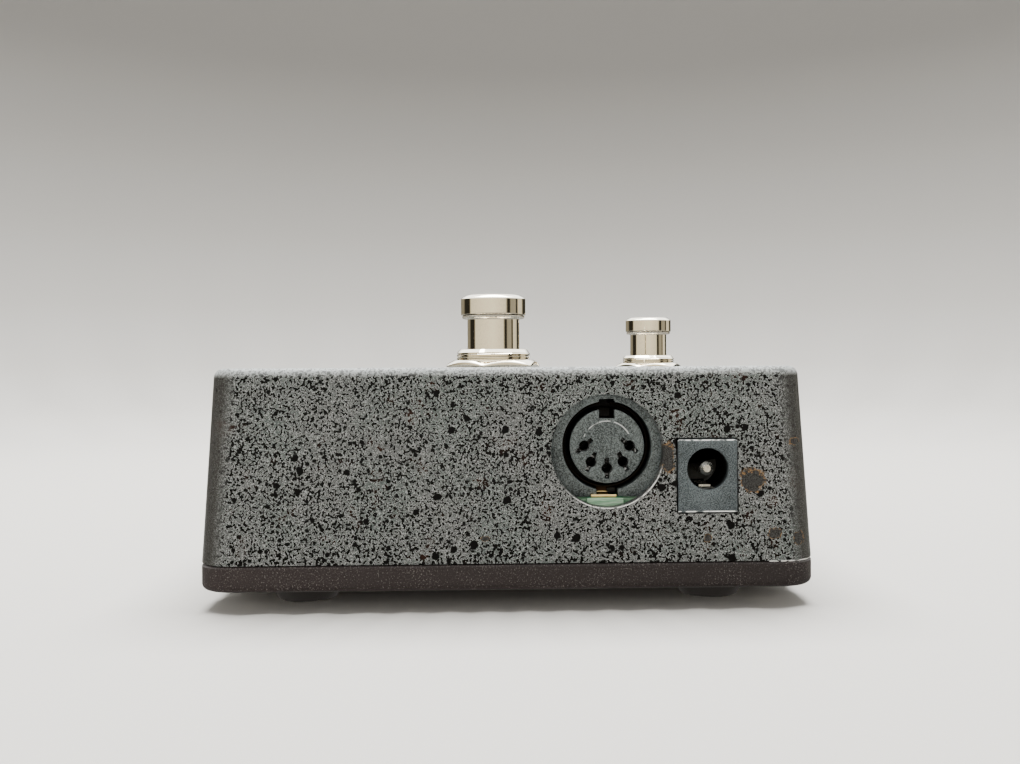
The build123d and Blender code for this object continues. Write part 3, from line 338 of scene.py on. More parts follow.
def makeGranitePaint():
    look = granitePaint
    material, tree, shader, coords = startMaterial("granitePaint", 0.34, specular=look["specular"])
    low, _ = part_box("enclosure_body")
    grain = noise(tree, coords, look["grainSize"], 2).outputs[0]
    corner, topEdge = cornerShadeAndTopHighlight(tree, coords)
    pits, field = paintPits(tree, coords, corner, topEdge)
    paint = paintCoat(tree, coords, grain, field, corner, topEdge)
    rusty = remap(tree, noise(tree, coords, look["rustSize"]).outputs[0], 0.60, 0.72)
    color = mixColor(tree, pits, paint, mixColor(tree, rusty, look["black"], look["rust"]))
    front = calc(tree, "LESS_THAN", axesOf(tree, coords)[1], low.y + look["frontDepth"])
    color = chipPaint(tree, coords, color, grain, front)
    color = paintEdgeShadeAndHighlights(tree, coords, color, front)
    tree.links.new(color, shader.inputs["Base Color"])
    gloss = remap(tree, noise(tree, coords, look["glossSize"]).outputs[0], 0.3, 0.7, *look["roughness"])
    tree.links.new(gloss, shader.inputs["Roughness"])
    peel = times(tree, noise(tree, coords, look["peelSize"]).outputs[0], 0.35)
    coat = plus(tree, minus(tree, 1.0, pits), times(tree, grain, 0.2))
    addBump(tree, shader, plus(tree, coat, peel), look["coatDepth"], 0.7)
    return material


lidPaint = {
    "base": (0.0135, 0.0095, 0.0092),
    "baseLight": (0.027, 0.0205, 0.0200),
    "fleck": (0.135, 0.118, 0.112),
    "fleckSize": 0.24 * mm,
    "fleckLevel": (0.615, 0.565),   # from the barest patches to the fullest
    "patchSize": 6 * mm,
    "sideShade": (1.25, 0.72),   # from the left end to the right
    "roughness": (0.42, 0.58),
    "specular": 0.22,
    "depth": 0.05 * mm,
}


def makeLidPaint():
    look = lidPaint
    material, tree, shader, coords = startMaterial("lidPaint", 0.5, specular=look["specular"])
    low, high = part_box("base_lid")
    x, _, _ = axesOf(tree, coords)
    fine = noise(tree, coords, look["fleckSize"], 3, 0.75).outputs[0]
    patch = noise(tree, coords, look["patchSize"]).outputs[0]
    threshold = remap(tree, patch, 0.35, 0.65, *look["fleckLevel"])
    flecks = remap(tree, minus(tree, fine, threshold), 0, 0.05)
    tone = mixColor(tree, remap(tree, fine, 0.35, 0.6), look["base"], look["baseLight"])
    paint = mixColor(tree, flecks, tone, look["fleck"])
    shade = remap(tree, x, low.x, high.x, *look["sideShade"])
    tree.links.new(mixColor(tree, 1.0, paint, greyTone(tree, shade), "MULTIPLY"), shader.inputs["Base Color"])
    tree.links.new(remap(tree, fine, 0.3, 0.7, *look["roughness"]), shader.inputs["Roughness"])
    addBump(tree, shader, fine, look["depth"], 0.8)
    return material


# near black, for painted shade in grooves
grooveShadeColor = (0.006, 0.005, 0.004)


# plain moulded, rubber and plated surfaces, told apart by their numbers
def makeSurface(name, look):
    material, tree, shader, coords = startMaterial(
        name, look["roughness"], look.get("metallic", 0.0), look.get("specular", 0.5))
    broad = noise(tree, coords, look.get("patch", 4 * mm), 2).outputs[0]
    grain = noise(tree, coords, look.get("grain", 0.25 * mm), 3, 0.6).outputs[0]
    shade = plus(tree, times(tree, broad, 0.4), times(tree, grain, 0.6))
    dark = [c * look.get("darker", 0.75) for c in look["color"]]
    light = [min(1.0, c * look.get("lighter", 1.25)) for c in look["color"]]
    color = mixColor(tree, remap(tree, shade, 0.36, 0.64), dark, light)
    # painted shade: the groove between the given heights is painted near black
    if "groove" in look:
        bottom, top = look["groove"]
        _, _, z = axesOf(tree, coords)
        inGrooveShade = times(tree, calc(tree, "GREATER_THAN", z, bottom), calc(tree, "LESS_THAN", z, top))
        color = mixColor(tree, inGrooveShade, color, grooveShadeColor)
    tree.links.new(color, shader.inputs["Base Color"])
    spread = look.get("spread", 0.08)
    gloss = remap(tree, broad, 0.3, 0.7, look["roughness"] - spread, look["roughness"] + spread)
    tree.links.new(gloss, shader.inputs["Roughness"])
    addBump(tree, shader, grain, look.get("depth", 0.01 * mm), look.get("strength", 0.5))
    return material


# solder mask on both faces, and the pale layered core along the sawn edge
boardLook = {
    "mask": (0.012, 0.13, 0.05),
    "core": (0.17, 0.40, 0.22),
    "coreLight": (0.52, 0.74, 0.53),
    "maskLight": (0.02, 0.17, 0.07),
    "maskThickness": 0.09 * mm,
    "layerSize": 1.5 * mm,
    "weaveSize": 0.8 * mm,
    "depth": 0.01 * mm,
}


def makeBoardMaterial():
    look = boardLook
    material, tree, shader, coords = startMaterial("boardLaminate", 0.35)
    low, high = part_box("circuit_board")
    _, _, z = axesOf(tree, coords)
    layered = addNode(tree, "ShaderNodeMapping", {"Vector": coords, "Scale": (0.35, 1, 7)}).outputs[0]
    layers = noise(tree, layered, look["layerSize"], 3, 0.6).outputs[0]
    core = mixColor(tree, remap(tree, layers, 0.40, 0.56), look["core"], look["coreLight"])
    fromTop = minus(tree, high.z, z)
    fromBottom = minus(tree, z, low.z)
    outer = calc(tree, "LESS_THAN", calc(tree, "MINIMUM", fromTop, fromBottom), look["maskThickness"])
    weave = noise(tree, coords, look["weaveSize"]).outputs[0]
    mask = mixColor(tree, remap(tree, weave, 0.3, 0.7), look["mask"], look["maskLight"])
    tree.links.new(mixColor(tree, outer, core, mask), shader.inputs["Base Color"])
    tree.links.new(remap(tree, outer, 0, 1, 0.6, 0.3), shader.inputs["Roughness"])
    addBump(tree, shader, weave, look["depth"], 0.4)
    return material


# grained mouldings with painted shade darkening the bores, and painted highlights: bright lines where light
# catches an edge
mouldings = {
    "socket_plastic": {"node": "din_insert", "dark": (0.018, 0.023, 0.023), "light": (0.145, 0.168, 0.166),
                       "shadeFrom": 0.5 * mm, "shadeTo": 2.6 * mm, "arcRadius": 3.82 * mm},
    "jack_plastic": {"node": "dc_jack_housing", "dark": (0.012, 0.017, 0.019), "light": (0.120, 0.143, 0.152),
                     "shadeFrom": 0.2 * mm, "shadeTo": 1.6 * mm, "edgeHighlightLine": 0.2 * mm},
}
mouldingShared = {
    "grain": 0.17 * mm,
    "patch": 4 * mm,
    "brokenSize": 0.9 * mm,
    "roughness": (0.34, 0.5),
    "specular": 0.3,
    # painted shade inside the bores, and the colour of the painted highlights
    "bore": (0.002, 0.002, 0.002),
    "edgeHighlightColor": (0.75, 0.77, 0.76),
    "arcWidth": 0.12 * mm,
    "arcEnds": (0.5, 2.75),   # radians, over the top of the face
    "arcStrength": 0.6,
    "depth": 0.02 * mm,
}


def makeMoulding(name, look):
    shared = mouldingShared
    material, tree, shader, coords = startMaterial(name, 0.4, specular=shared["specular"])
    low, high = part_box(look["node"])
    middle = (low + high) / 2
    x, y, z = axesOf(tree, coords)
    grain = noise(tree, coords, shared["grain"], 3, 0.65).outputs[0]
    broad = noise(tree, coords, shared["patch"]).outputs[0]
    tone = plus(tree, times(tree, grain, 0.85), times(tree, broad, 0.15))
    color = mixColor(tree, remap(tree, tone, 0.42, 0.60), look["dark"], look["light"])
    broken = remap(tree, noise(tree, coords, shared["brokenSize"], 3).outputs[0], 0.40, 0.50)
    # painted highlight: a pale arc over the top of the socket face
    if "arcRadius" in look:
        radial, turn = roundDistance(tree, x, z, middle.x, middle.z)
        near = calc(tree, "ABSOLUTE", minus(tree, radial, look["arcRadius"]))
        arc = remap(tree, near, shared["arcWidth"], shared["arcWidth"] * 0.4)
        arcStart, arcEnd = shared["arcEnds"]
        arc = times(tree, arc, calc(tree, "GREATER_THAN", turn, arcStart))
        arc = times(tree, arc, calc(tree, "LESS_THAN", turn, arcEnd))
        arc = times(tree, times(tree, arc, broken), shared["arcStrength"])
        color = mixColor(tree, arc, color, shared["edgeHighlightColor"])
    # painted shade, darker the deeper into the bore
    boreShade = remap(tree, minus(tree, y, low.y), look["shadeFrom"], look["shadeTo"])
    color = mixColor(tree, boreShade, color, shared["bore"])
    # painted highlights along the top and bottom edges of the jack face
    if "edgeHighlightLine" in look:
        fromMiddle = calc(tree, "ABSOLUTE", minus(tree, z, middle.z))
        line = calc(tree, "GREATER_THAN", fromMiddle, (high.z - low.z) / 2 - look["edgeHighlightLine"])
        line = times(tree, line, calc(tree, "LESS_THAN", y, low.y + look["edgeHighlightLine"] * 1.5))
        color = mixColor(tree, times(tree, line, broken), color, shared["edgeHighlightColor"])
    tree.links.new(color, shader.inputs["Base Color"])
    tree.links.new(remap(tree, grain, 0.3, 0.7, *shared["roughness"]), shader.inputs["Roughness"])
    addBump(tree, shader, grain, shared["depth"], 0.6)
    return material


# the screen ring is painted near black, as shade in its groove; its tab is bronze painted darker with shade,
# and the tab's foot is gold
brassLook = {
    "gold": (0.86, 0.64, 0.30),
    "shadedBronze": (0.016, 0.009, 0.005),
    "ringShade": (0.010, 0.008, 0.006),
    "footHeight": 0.46 * mm,
    "tabHeight": 1.1 * mm,
    "fade": 1.15,   # each height is passed over this share of itself
    "mottleSize": 0.5 * mm,
    "depth": 0.01 * mm,
    "roughness": (0.28, 0.42),
}


def makeBrass():
    look = brassLook
    material, tree, shader, coords = startMaterial("contactBrass", 0.34, metallic=1.0)
    low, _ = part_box("din_screen_ring")
    _, _, z = axesOf(tree, coords)
    rise = minus(tree, z, low.z)
    mottle = noise(tree, coords, look["mottleSize"], 3).outputs[0]
    duller = [c * 0.8 for c in look["gold"]]
    color = mixColor(tree, remap(tree, mottle, 0.35, 0.65), duller, look["gold"])
    for height, above in (("footHeight", "shadedBronze"), ("tabHeight", "ringShade")):
        passed = remap(tree, rise, look[height], look[height] * look["fade"])
        color = mixColor(tree, passed, color, look[above])
    tree.links.new(color, shader.inputs["Base Color"])
    tree.links.new(remap(tree, mottle, 0.3, 0.7, *look["roughness"]), shader.inputs["Roughness"])
    addBump(tree, shader, mottle, look["depth"], 0.4)
    return material


# contacts are painted dark, as shade in their slots, with painted glints at their outer ends
contactLook = {
    "dark": (0.004, 0.004, 0.004),
    "glint": (0.85, 0.86, 0.84),
    "faintGlint": 0.35,
    "tip": (4.35 * mm, 4.65 * mm),   # from the socket's axis
    "speckSize": 0.35 * mm,
    "depth": 0.02 * mm,
    "roughness": (0.28, 0.42),
    "specular": 0.15,
}


def makeContacts():
    look = contactLook
    material, tree, shader, coords = startMaterial("socketContacts", 0.35, specular=look["specular"])
    x, _, z = axesOf(tree, coords)
    socket = centreOf("din_insert")
    radial, _ = roundDistance(tree, x, z, socket.x, socket.z)
    specks = noise(tree, coords, look["speckSize"], 2).outputs[0]
    outer = times(tree, remap(tree, radial, *look["tip"]), remap(tree, specks, 0.47, 0.55))
    faint = times(tree, remap(tree, specks, 0.60, 0.68), look["faintGlint"])
    color = mixColor(tree, larger(tree, outer, faint), look["dark"], look["glint"])
    tree.links.new(color, shader.inputs["Base Color"])
    tree.links.new(remap(tree, specks, 0.3, 0.7, *look["roughness"]), shader.inputs["Roughness"])
    addBump(tree, shader, specks, look["depth"], 0.5)
    return material


surfaces = {
    "foot_rubber": {"color": (0.016, 0.013, 0.012), "roughness": 0.62, "depth": 0.03 * mm, "strength": 0.7},
    "chrome_plate": {"color": (0.86, 0.79, 0.66), "roughness": 0.075, "metallic": 1.0, "spread": 0.025,
                     "darker": 0.93, "lighter": 1.05, "depth": 0.003 * mm, "strength": 0.2},
    "zinc_steel": {"color": (0.58, 0.57, 0.54), "roughness": 0.34, "metallic": 1.0,
                   "darker": 0.85, "lighter": 1.1},
    "spring_steel": {"color": (0.42, 0.42, 0.41), "roughness": 0.3, "metallic": 1.0},
    "tinned_metal": {"color": (0.62, 0.60, 0.55), "roughness": 0.26, "metallic": 1.0, "darker": 0.8},
    "switch_plastic": {"color": (0.03, 0.03, 0.034), "roughness": 0.45},
    "phenolic": {"color": (0.20, 0.075, 0.03), "roughness": 0.5, "darker": 0.6, "lighter": 1.5},
    "red_insulation": {"color": (0.55, 0.02, 0.015), "roughness": 0.4},
    "black_insulation": {"color": (0.015, 0.015, 0.016), "roughness": 0.4},
    "chip_plastic": {"color": (0.018, 0.018, 0.019), "roughness": 0.5},
    "capacitor_sleeve": {"color": (0.015, 0.04, 0.2), "roughness": 0.3},
    "ceramic_body": {"color": (0.70, 0.33, 0.06), "roughness": 0.35},
    "resistor_body": {"color": (0.12, 0.38, 0.52), "roughness": 0.35},
}
slotMaterials = {slot: makeSurface(slot, look) for slot, look in surfaces.items()}
slotMaterials.update({slot: makeMoulding(slot, look) for slot, look in mouldings.items()})
slotMaterials["contact_brass"] = makeBrass()
slotMaterials["granite_paint"] = makeGranitePaint()
slotMaterials["dark_paint"] = makeLidPaint()
slotMaterials["board_laminate"] = makeBoardMaterial()
for name, node in cadNodes.items():
    node.data.materials.clear()
    node.data.materials.append(slotMaterials[slotOfNode[name]])
cadNodes["din_contacts"].data.materials[0] = makeContacts()
print("materials ready,", len(slotMaterials))


# helpers for pieces
def shadeByAngle(bm, sharpest=34):
    for face in bm.faces:
        face.smooth = True
    for edge in bm.edges:
        flat = len(edge.link_faces) != 2 or edge.calc_face_angle(0) > math.radians(sharpest)
        edge.smooth = not flat


def addPiece(name, bm, body, slot, *nodes):
    shadeByAngle(bm)
    mesh = bpy.data.meshes.new(name)
    bm.to_mesh(mesh)
    bm.free()
    mesh.materials.append(slotMaterials[slot])
    piece = bpy.data.objects.new(name, mesh)
    bpy.context.scene.collection.objects.link(piece)
    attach(piece, body)
    if nodes:
        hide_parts(*nodes)
    return piece


# a profile of (radius, height, edge rounding) turned round an upright axis
def turned(profile, axis, steps, closed=False):
    bm = bmesh.new()
    points = [bm.verts.new((axis.x + radius, axis.y, height)) for radius, height, _ in profile]
    ends = points[1:] + points[:1] if closed else points[1:]
    for start, end in zip(points, ends):
        bm.edges.new((start, end))
    for rounding in sorted({r for _, _, r in profile if r > 0}):
        corners = [v for v, (_, _, r) in zip(points, profile) if r == rounding]
        bmesh.ops.bevel(bm, geom=corners, offset=rounding, offset_type="OFFSET", segments=4,
                        profile=0.5, affect="VERTICES", material=-1, clamp_overlap=False)
    bmesh.ops.spin(bm, geom=bm.verts[:] + bm.edges[:], cent=(axis.x, axis.y, 0), axis=(0, 0, 1),
                   angle=fullTurn, steps=steps, use_merge=True, use_duplicate=False)
    bmesh.ops.remove_doubles(bm, verts=bm.verts, dist=weld)
    bmesh.ops.recalc_face_normals(bm, faces=bm.faces)
    return bm


footLook = {
    "rimHeight": 0.35 * mm,
    "rimInset": 0.12 * mm,
    "rimEdge": 0.08 * mm,
    "sideEdge": 0.1 * mm,
    "bottomEdge": 0.55 * mm,
    "bottomShare": 0.677,   # of the radius at the lid
    "hollowDepth": 0.15 * mm,
    "hollowShare": 0.5,   # of the bottom's radius
    "steps": 72,
}


def makeFeet():
    look = footLook
    for node in sorted(n for n in cadNodes if n.startswith("foot_")):
        low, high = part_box(node)
        axis = centreOf(node)
        top = (high.x - low.x) / 2
        bottom = top * look["bottomShare"]
        side = top - look["rimInset"]
        hollow = bottom * look["hollowShare"]
        profile = [
            (0, look["hollowDepth"], 0),
            (hollow, look["hollowDepth"], look["sideEdge"]),
            (hollow + look["hollowDepth"], low.z, look["sideEdge"]),
            (bottom, low.z, look["bottomEdge"]),
            (side, high.z - look["rimHeight"], look["sideEdge"]),
            (side, high.z, look["rimEdge"]),
            (0, high.z, 0),
        ]
        addPiece(node + "Rubber", turned(profile, axis, look["steps"]), "chassis", "foot_rubber", node)


makeFeet()
print("feet made")


plungerLook = {
    "buttonHeight": 3.9 * mm,
    "crown": (0.03 * mm, 0.13 * mm),   # drop of the domed top half way out, and at its edge
    "topEdge": (0.9 * mm, 0.5 * mm),   # how far the sloped top edge runs in and down
    "topRounding": 0.16 * mm,
    "grooveWidth": 0.18 * mm,
    "grooveDepth": 0.35 * mm,
    "collar": 0.40 * mm,
    "collarInset": (0.16 * mm, 0.24 * mm),   # at its top and at its foot
    "collarRounding": 0.14 * mm,
    "neckRounding": 0.18 * mm,
    "lineRounding": 0.05 * mm,   # at both lips of the groove
    "flangeRounding": 0.1 * mm,
    "flangeGap": (0.05 * mm, 0.02 * mm),   # under the bushing, and over the spring
    "steady": 0.35 * mm,   # from each rounded corner to a loop that keeps the long faces straight
    "neckRadius": 4.25 * mm,
    "flangeRadius": 5.1 * mm,
    "stemRadius": 2.0 * mm,
    "rivetRadius": 1.0 * mm,
    "rivetHeadRadius": 1.5 * mm,
    "steps": 128,
}


def makePlunger(end):
    look = plungerLook
    low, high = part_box(f"{end}_switch_plunger")
    bushingLow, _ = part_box(f"{end}_switch_bushing")
    _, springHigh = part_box(f"{end}_switch_return_spring")
    bridgeLow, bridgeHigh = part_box(f"{end}_switch_contact_bridge")
    radius = (high.x - low.x) / 2
    under = high.z - look["buttonHeight"]
    inward, down = look["topEdge"]
    collarTop = under + look["collar"]
    collarHigh, collarLow = look["collarInset"]
    grooveTop = collarTop + look["grooveWidth"]
    grooveRadius = radius - look["grooveDepth"]
    bushingGap, springGap = look["flangeGap"]
    flangeTop = bushingLow.z - bushingGap
    flangeBottom = springHigh.z + springGap
    flange, flangeEdge = look["flangeRadius"], look["flangeRounding"]
    neck = look["neckRadius"]
    steady = look["steady"]
    halfDrop, edgeDrop = look["crown"]
    shoulder = high.z - down - edgeDrop
    profile = [
        (0, high.z, 0),
        (radius * 0.5, high.z - halfDrop, 0),
        (radius - inward, high.z - edgeDrop, look["topRounding"]),
        (radius, shoulder, look["topRounding"]),
        (radius, shoulder - steady, 0),
        (radius, grooveTop + steady, 0),
        (radius, grooveTop, look["lineRounding"]),
        (grooveRadius, grooveTop, 0),
        (grooveRadius, collarTop, 0),
        (radius - collarHigh, collarTop, look["lineRounding"]),
        (radius - collarLow, under, look["collarRounding"]),
        (neck, under, look["neckRounding"]),
        (neck, under - steady, 0),
        (neck, flangeTop + steady, 0),
        (neck, flangeTop, 0),
        (flange, flangeTop, flangeEdge),
        (flange, flangeBottom, flangeEdge),
        (look["stemRadius"], flangeBottom, 0),
        (look["stemRadius"], bridgeHigh.z, 0),
        (look["rivetRadius"], bridgeHigh.z, 0),
        (look["rivetRadius"], bridgeLow.z, 0),
        (look["rivetHeadRadius"], bridgeLow.z, 0),
        (look["rivetHeadRadius"], low.z, flangeEdge),
        (0, low.z, 0),
    ]
    bm = turned(profile, centreOf(f"{end}_switch_plunger"), look["steps"])
    piece = addPiece(f"{end}ButtonAndNeck", bm, f"{end}_button", "chrome_plate", f"{end}_switch_plunger")
    chrome = {**surfaces["chrome_plate"], "groove": (collarTop + nudge, grooveTop - nudge)}
    piece.data.materials[0] = makeSurface(f"{end}ButtonChrome", chrome)


bushingLook = {
    "pitch": 0.5 * mm,
    "threadDepth": 0.16 * mm,
    "boreRadius": 4.3 * mm,
    "endEdge": 0.5 * mm,
    "boreEdge": 0.2 * mm,
    "steps": 72,
}


# a screw thread cut off square at both ends, with a plain bore
def makeBushing(end):
    look = bushingLook
    node = f"{end}_switch_bushing"
    low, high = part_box(node)
    axis = centreOf(node)
    radius = (high.x - low.x) / 2
    pitch = look["pitch"]
    root = radius - look["threadDepth"]
    turns = math.ceil((high.z - low.z) / pitch) + 2
    tooth = [(root, 0), (root, 0.12), (radius, 0.42), (radius, 0.70), (root, 1.0)]   # radius, share of pitch
    bm = bmesh.new()
    points = [bm.verts.new((axis.x + r, axis.y, low.z - pitch + share * pitch)) for r, share in tooth]
    wires = [bm.edges.new(pair) for pair in zip(points, points[1:])]
    bmesh.ops.spin(bm, geom=points + wires, cent=(axis.x, axis.y, 0), axis=(0, 0, 1),
                   dvec=(0, 0, pitch / look["steps"]), angle=fullTurn * turns, steps=look["steps"] * turns)
    bmesh.ops.remove_doubles(bm, verts=bm.verts, dist=0.004 * mm)
    shoulder = high.z - look["endEdge"]
    bmesh.ops.bisect_plane(bm, geom=bm.verts[:] + bm.edges[:] + bm.faces[:], plane_co=(0, 0, shoulder),
                           plane_no=(0, 0, 1), clear_outer=True)
    bmesh.ops.bisect_plane(bm, geom=bm.verts[:] + bm.edges[:] + bm.faces[:], plane_co=(0, 0, low.z),
                           plane_no=(0, 0, -1), clear_outer=True)

    def openEdges(height):
        rim = [e for e in bm.edges if e.is_boundary]
        return [e for e in rim if all(abs(v.co.z - height) < nudge for v in e.verts)]

    def ring(ringRadius, height):
        place = Matrix.Translation((axis.x, axis.y, height))
        made = bmesh.ops.create_circle(bm, segments=look["steps"], radius=ringRadius, matrix=place)
        corners = set(made["verts"])
        return [e for e in bm.edges if e.verts[0] in corners and e.verts[1] in corners]

    bore = look["boreRadius"]
    loops = [
        openEdges(shoulder),
        ring(radius - look["endEdge"], high.z),
        ring(bore + look["boreEdge"], high.z),
        ring(bore, high.z - look["boreEdge"]),
        ring(bore, low.z),
        openEdges(low.z),
    ]
    for first, second in zip(loops, loops[1:]):
        bmesh.ops.bridge_loops(bm, edges=first + second)
    bmesh.ops.recalc_face_normals(bm, faces=bm.faces)
    addPiece(f"{end}BushingThread", bm, "chassis", "chrome_plate", node)


nutLook = {
    "clearance": 0.05 * mm,   # round the bushing
    "crownOverBore": 0.45 * mm,
    "flatOverBore": 0.95 * mm,
    "chamferAngle": 30,
    "cornerRounding": 0.12 * mm,
    "edge": 0.09 * mm,
    "steps": 120,
    "turns": {"front": 18.0, "rear": 6.0},   # degrees, as each was tightened
}


# a hexagon nut with a chamfered upper face, made from a disc whose outside is drawn in to six flats
def makeNut(end, level):
    look = nutLook
    node = f"{end}_switch_{level}_nut"
    low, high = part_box(node)
    axis = centreOf(f"{end}_switch_bushing")
    bushingLow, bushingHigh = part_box(f"{end}_switch_bushing")
    bore = (bushingHigh.x - bushingLow.x) / 2 + look["clearance"]
    crown = bore + look["crownOverBore"]
    flat = bore + look["flatOverBore"]
    corner = flat / math.cos(math.radians(30))
    slope = math.tan(math.radians(look["chamferAngle"]))
    profile = [
        (bore, low.z, 0),
        (bore, high.z, 0),
        (crown, high.z, 0),
        (corner, high.z - (corner - crown) * slope, 0),
        (corner, low.z, 0),
    ]
    bm = turned(profile, axis, look["steps"], closed=True)
    turn = math.radians(look["turns"][end])
    for vertex in bm.verts:
        offset = vertex.co.xy - axis.xy
        if offset.length > crown + nudge:
            around = (math.atan2(offset.y, offset.x) - turn) % math.radians(60)
            reach = min(flat / math.cos(around - math.radians(30)), corner - look["cornerRounding"])
            vertex.co.xy = axis.xy + offset.normalized() * reach
            if vertex.co.z > low.z + nudge:
                vertex.co.z = high.z - (reach - crown) * slope
    outer = [e for e in bm.edges if min((v.co.xy - axis.xy).length for v in e.verts) > bore + nudge]
    sharp = [e for e in outer if e.calc_face_angle(0) > math.radians(22)]
    bmesh.ops.bevel(bm, geom=sharp, offset=look["edge"], offset_type="OFFSET", segments=2,
                    profile=0.5, affect="EDGES", material=-1, clamp_overlap=False)
    addPiece(f"{end}{level.capitalize()}HexNut", bm, "chassis", "chrome_plate", node)


for end in ("front", "rear"):
    makePlunger(end)
    makeBushing(end)
    makeNut(end, "outer")
    makeNut(end, "inner")
print("footswitch metal made")


# moulded and sawn pieces keep their shape and get broken edges
edgeBreaks = {
    "dc_jack_housing": 0.13 * mm,
    "din_housing": 0.14 * mm,
    "din_insert": 0.07 * mm,
    "circuit_board": 0.06 * mm,
    "din_screen_ring": 0.05 * mm,
}


def breakEdges(node, width):
    bm = bmesh.new()
    bm.from_mesh(cadNodes[node].data)
    bmesh.ops.remove_doubles(bm, verts=bm.verts, dist=weld)
    bmesh.ops.dissolve_limit(bm, angle_limit=math.radians(0.5), verts=bm.verts, edges=bm.edges)
    sharp = [e for e in bm.edges if len(e.link_faces) == 2 and e.calc_face_angle(0) > math.radians(35)]
    bmesh.ops.bevel(bm, geom=sharp, offset=width, offset_type="OFFSET", segments=2,
                    profile=0.5, affect="EDGES", material=-1, clamp_overlap=False)
    bmesh.ops.triangulate(bm, faces=[f for f in bm.faces if len(f.verts) > 4])
    name = "".join(word.capitalize() if i else word for i, word in enumerate(node.split("_")))
    addPiece(name + "Eased", bm, "chassis", slotOfNode[node], node)


for node, width in edgeBreaks.items():
    breakEdges(node, width)
print("sockets and board eased")

# studio
studio = {
    "floorRadius": 0.9,
    "wallHeight": 1.5,
    "wallBend": 0.6,
    "floorColor": (0.62, 0.60, 0.57),
    "floorRoughness": 0.8,
    "lightTarget": Vector((0, 0, 0.02)),
}
lights = {
    "overhead": {"place": (0.0, 0.15, 0.70), "size": (0.6, 0.5), "power": 22.0,
                 "color": (1.0, 1.0, 0.98), "mirrored": True},
    "frontSoft": {"place": (-0.10, -0.80, 0.20), "size": (0.35, 0.30), "power": 1.45,
                  "color": (1.0, 0.985, 0.96), "mirrored": False},
}


def makeFloor():
    bm = bmesh.new()
    flat, bend = studio["floorRadius"], studio["wallBend"]
    outline = [(0, 0), (flat, 0), (flat + bend, bend), (flat + bend, studio["wallHeight"])]
    points = [bm.verts.new((radius, 0, height)) for radius, height in outline]
    for start, end in zip(points, points[1:]):
        bm.edges.new((start, end))
    bmesh.ops.spin(bm, geom=bm.verts[:] + bm.edges[:], cent=(0, 0, 0), axis=(0, 0, 1),
                   angle=fullTurn, steps=64, use_merge=True)
    bmesh.ops.remove_doubles(bm, verts=bm.verts, dist=0.1 * mm)
    for face in bm.faces:
        face.smooth = True
    mesh = bpy.data.meshes.new("studioFloor")
    bm.to_mesh(mesh)
    bm.free()
    floor = bpy.data.objects.new("studioFloor", mesh)
    bpy.context.scene.collection.objects.link(floor)
    rounding = floor.modifiers.new("rounding", "SUBSURF")
    rounding.levels = rounding.render_levels = 2
    material = bpy.data.materials.new("paleFloor")
    material.use_nodes = True
    shader = material.node_tree.nodes["Principled BSDF"]
    shader.inputs["Base Color"].default_value = (*studio["floorColor"], 1)
    shader.inputs["Roughness"].default_value = studio["floorRoughness"]
    mesh.materials.append(material)
    floor.visible_glossy = False


def makeLight(name, look):
    data = bpy.data.lights.new(name, "AREA")
    data.shape = "RECTANGLE"
    data.size, data.size_y = look["size"]
    data.energy = look["power"]
    data.color = look["color"]
    light = bpy.data.objects.new(name, data)
    bpy.context.scene.collection.objects.link(light)
    place = Vector(look["place"])
    aim = (studio["lightTarget"] - place).to_track_quat("-Z", "Y")
    light.matrix_world = Matrix.Translation(place) @ aim.to_matrix().to_4x4()
    light.visible_camera = False
    light.visible_glossy = look["mirrored"]


# what bright metal mirrors: soft panels and dark gaps round the horizon, as turn and brightness
panelStops = [
    (0.00, 0.30), (0.14, 0.32), (0.17, 0.03), (0.245, 0.03), (0.265, 1.15), (0.50, 1.50), (0.625, 1.15),
    (0.645, 0.03), (0.672, 0.03), (0.682, 0.42), (0.742, 0.46), (0.752, 0.02), (0.768, 0.02),
    (0.780, 1.10), (0.845, 0.95), (0.860, 0.05), (0.93, 0.04), (1.00, 0.30),
]
surroundings = {
    "panelTint": (1.0, 0.91, 0.68),
    "above": (4.2, 4.25, 4.15),
    "aboveFrom": (0.16, 0.42),   # height of the direction looked in
    "below": (0.45, 0.43, 0.40),
    "belowTo": (-0.12, -0.02),
    "ambientBack": (0.16, 0.16, 0.16),
    "ambientFront": (0.20, 0.20, 0.20),
}


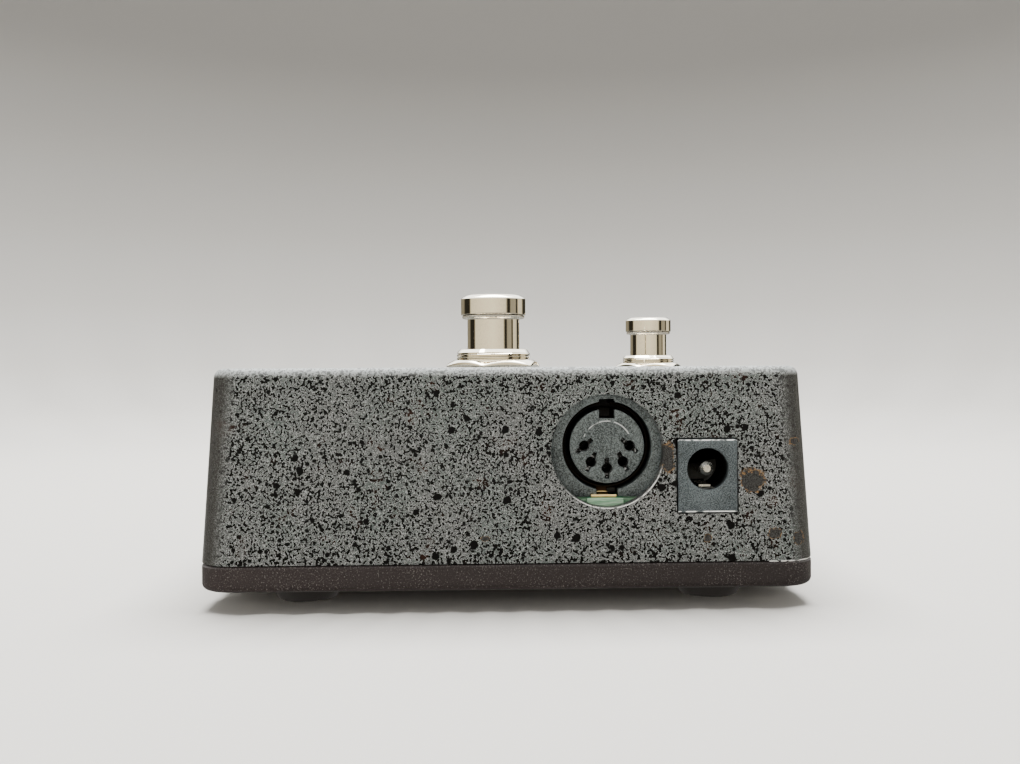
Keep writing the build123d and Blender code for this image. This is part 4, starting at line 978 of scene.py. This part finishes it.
def makeWorld():
    look = surroundings
    world = bpy.data.worlds.new("studioWorld")
    bpy.context.scene.world = world
    world.use_nodes = True
    tree = world.node_tree
    background = tree.nodes["Background"]
    direction = tree.nodes.new("ShaderNodeTexCoord").outputs["Generated"]
    x, y, z = axesOf(tree, direction)
    turn = calc(tree, "ARCTAN2", x, times(tree, y, -1.0))
    share = plus(tree, calc(tree, "DIVIDE", turn, fullTurn), 0.5)
    ramp = addNode(tree, "ShaderNodeValToRGB", {0: share})
    stops = ramp.color_ramp.elements
    for place, _ in panelStops[1:-1]:
        stops.new(place)
    for stop, (_, level) in zip(stops, panelStops):
        stop.color = (*(level * tint for tint in look["panelTint"]), 1)
    mirrored = mixColor(tree, remap(tree, z, *look["aboveFrom"]), ramp.outputs[0], look["above"])
    mirrored = mixColor(tree, remap(tree, z, *look["belowTo"]), look["below"], mirrored)
    rays = tree.nodes.new("ShaderNodeLightPath")
    toFront = remap(tree, times(tree, y, -1.0), -0.6, 0.8)
    ambient = mixColor(tree, toFront, look["ambientBack"], look["ambientFront"])
    seen = mixColor(tree, rays.outputs["Is Glossy Ray"], ambient, mirrored)
    tree.links.new(seen, background.inputs[0])


makeFloor()
makeWorld()
for name, look in lights.items():
    makeLight(name, look)


cameraLook = {
    "place": (0.3 * mm, -224.75 * mm, 36.3 * mm),
    "lens": 38.78,
    "sensor": 36,
    "roll": -0.32,   # degrees
    "yaw": -1.8,   # turned a little to the side, with the shift that brings the pedal back
    "drop": -0.0098,
    "clip": (5 * mm, 20),
}


def makeCamera():
    look = cameraLook
    yaw = math.radians(look["yaw"])
    data = bpy.data.cameras.new("mainCamera")
    data.lens = look["lens"]
    data.sensor_width = look["sensor"]
    data.shift_x = math.tan(yaw) * look["lens"] / look["sensor"]
    data.shift_y = look["drop"]
    data.clip_start, data.clip_end = look["clip"]
    camera = bpy.data.objects.new("mainCamera", data)
    bpy.context.scene.collection.objects.link(camera)
    camera.matrix_world = (Matrix.Translation(look["place"])
                           @ Matrix.Rotation(yaw, 4, "Z")
                           @ Matrix.Rotation(math.radians(90), 4, "X")
                           @ Matrix.Rotation(math.radians(look["roll"]), 4, "Z"))
    bpy.context.scene.camera = camera


makeCamera()
print("studio ready")
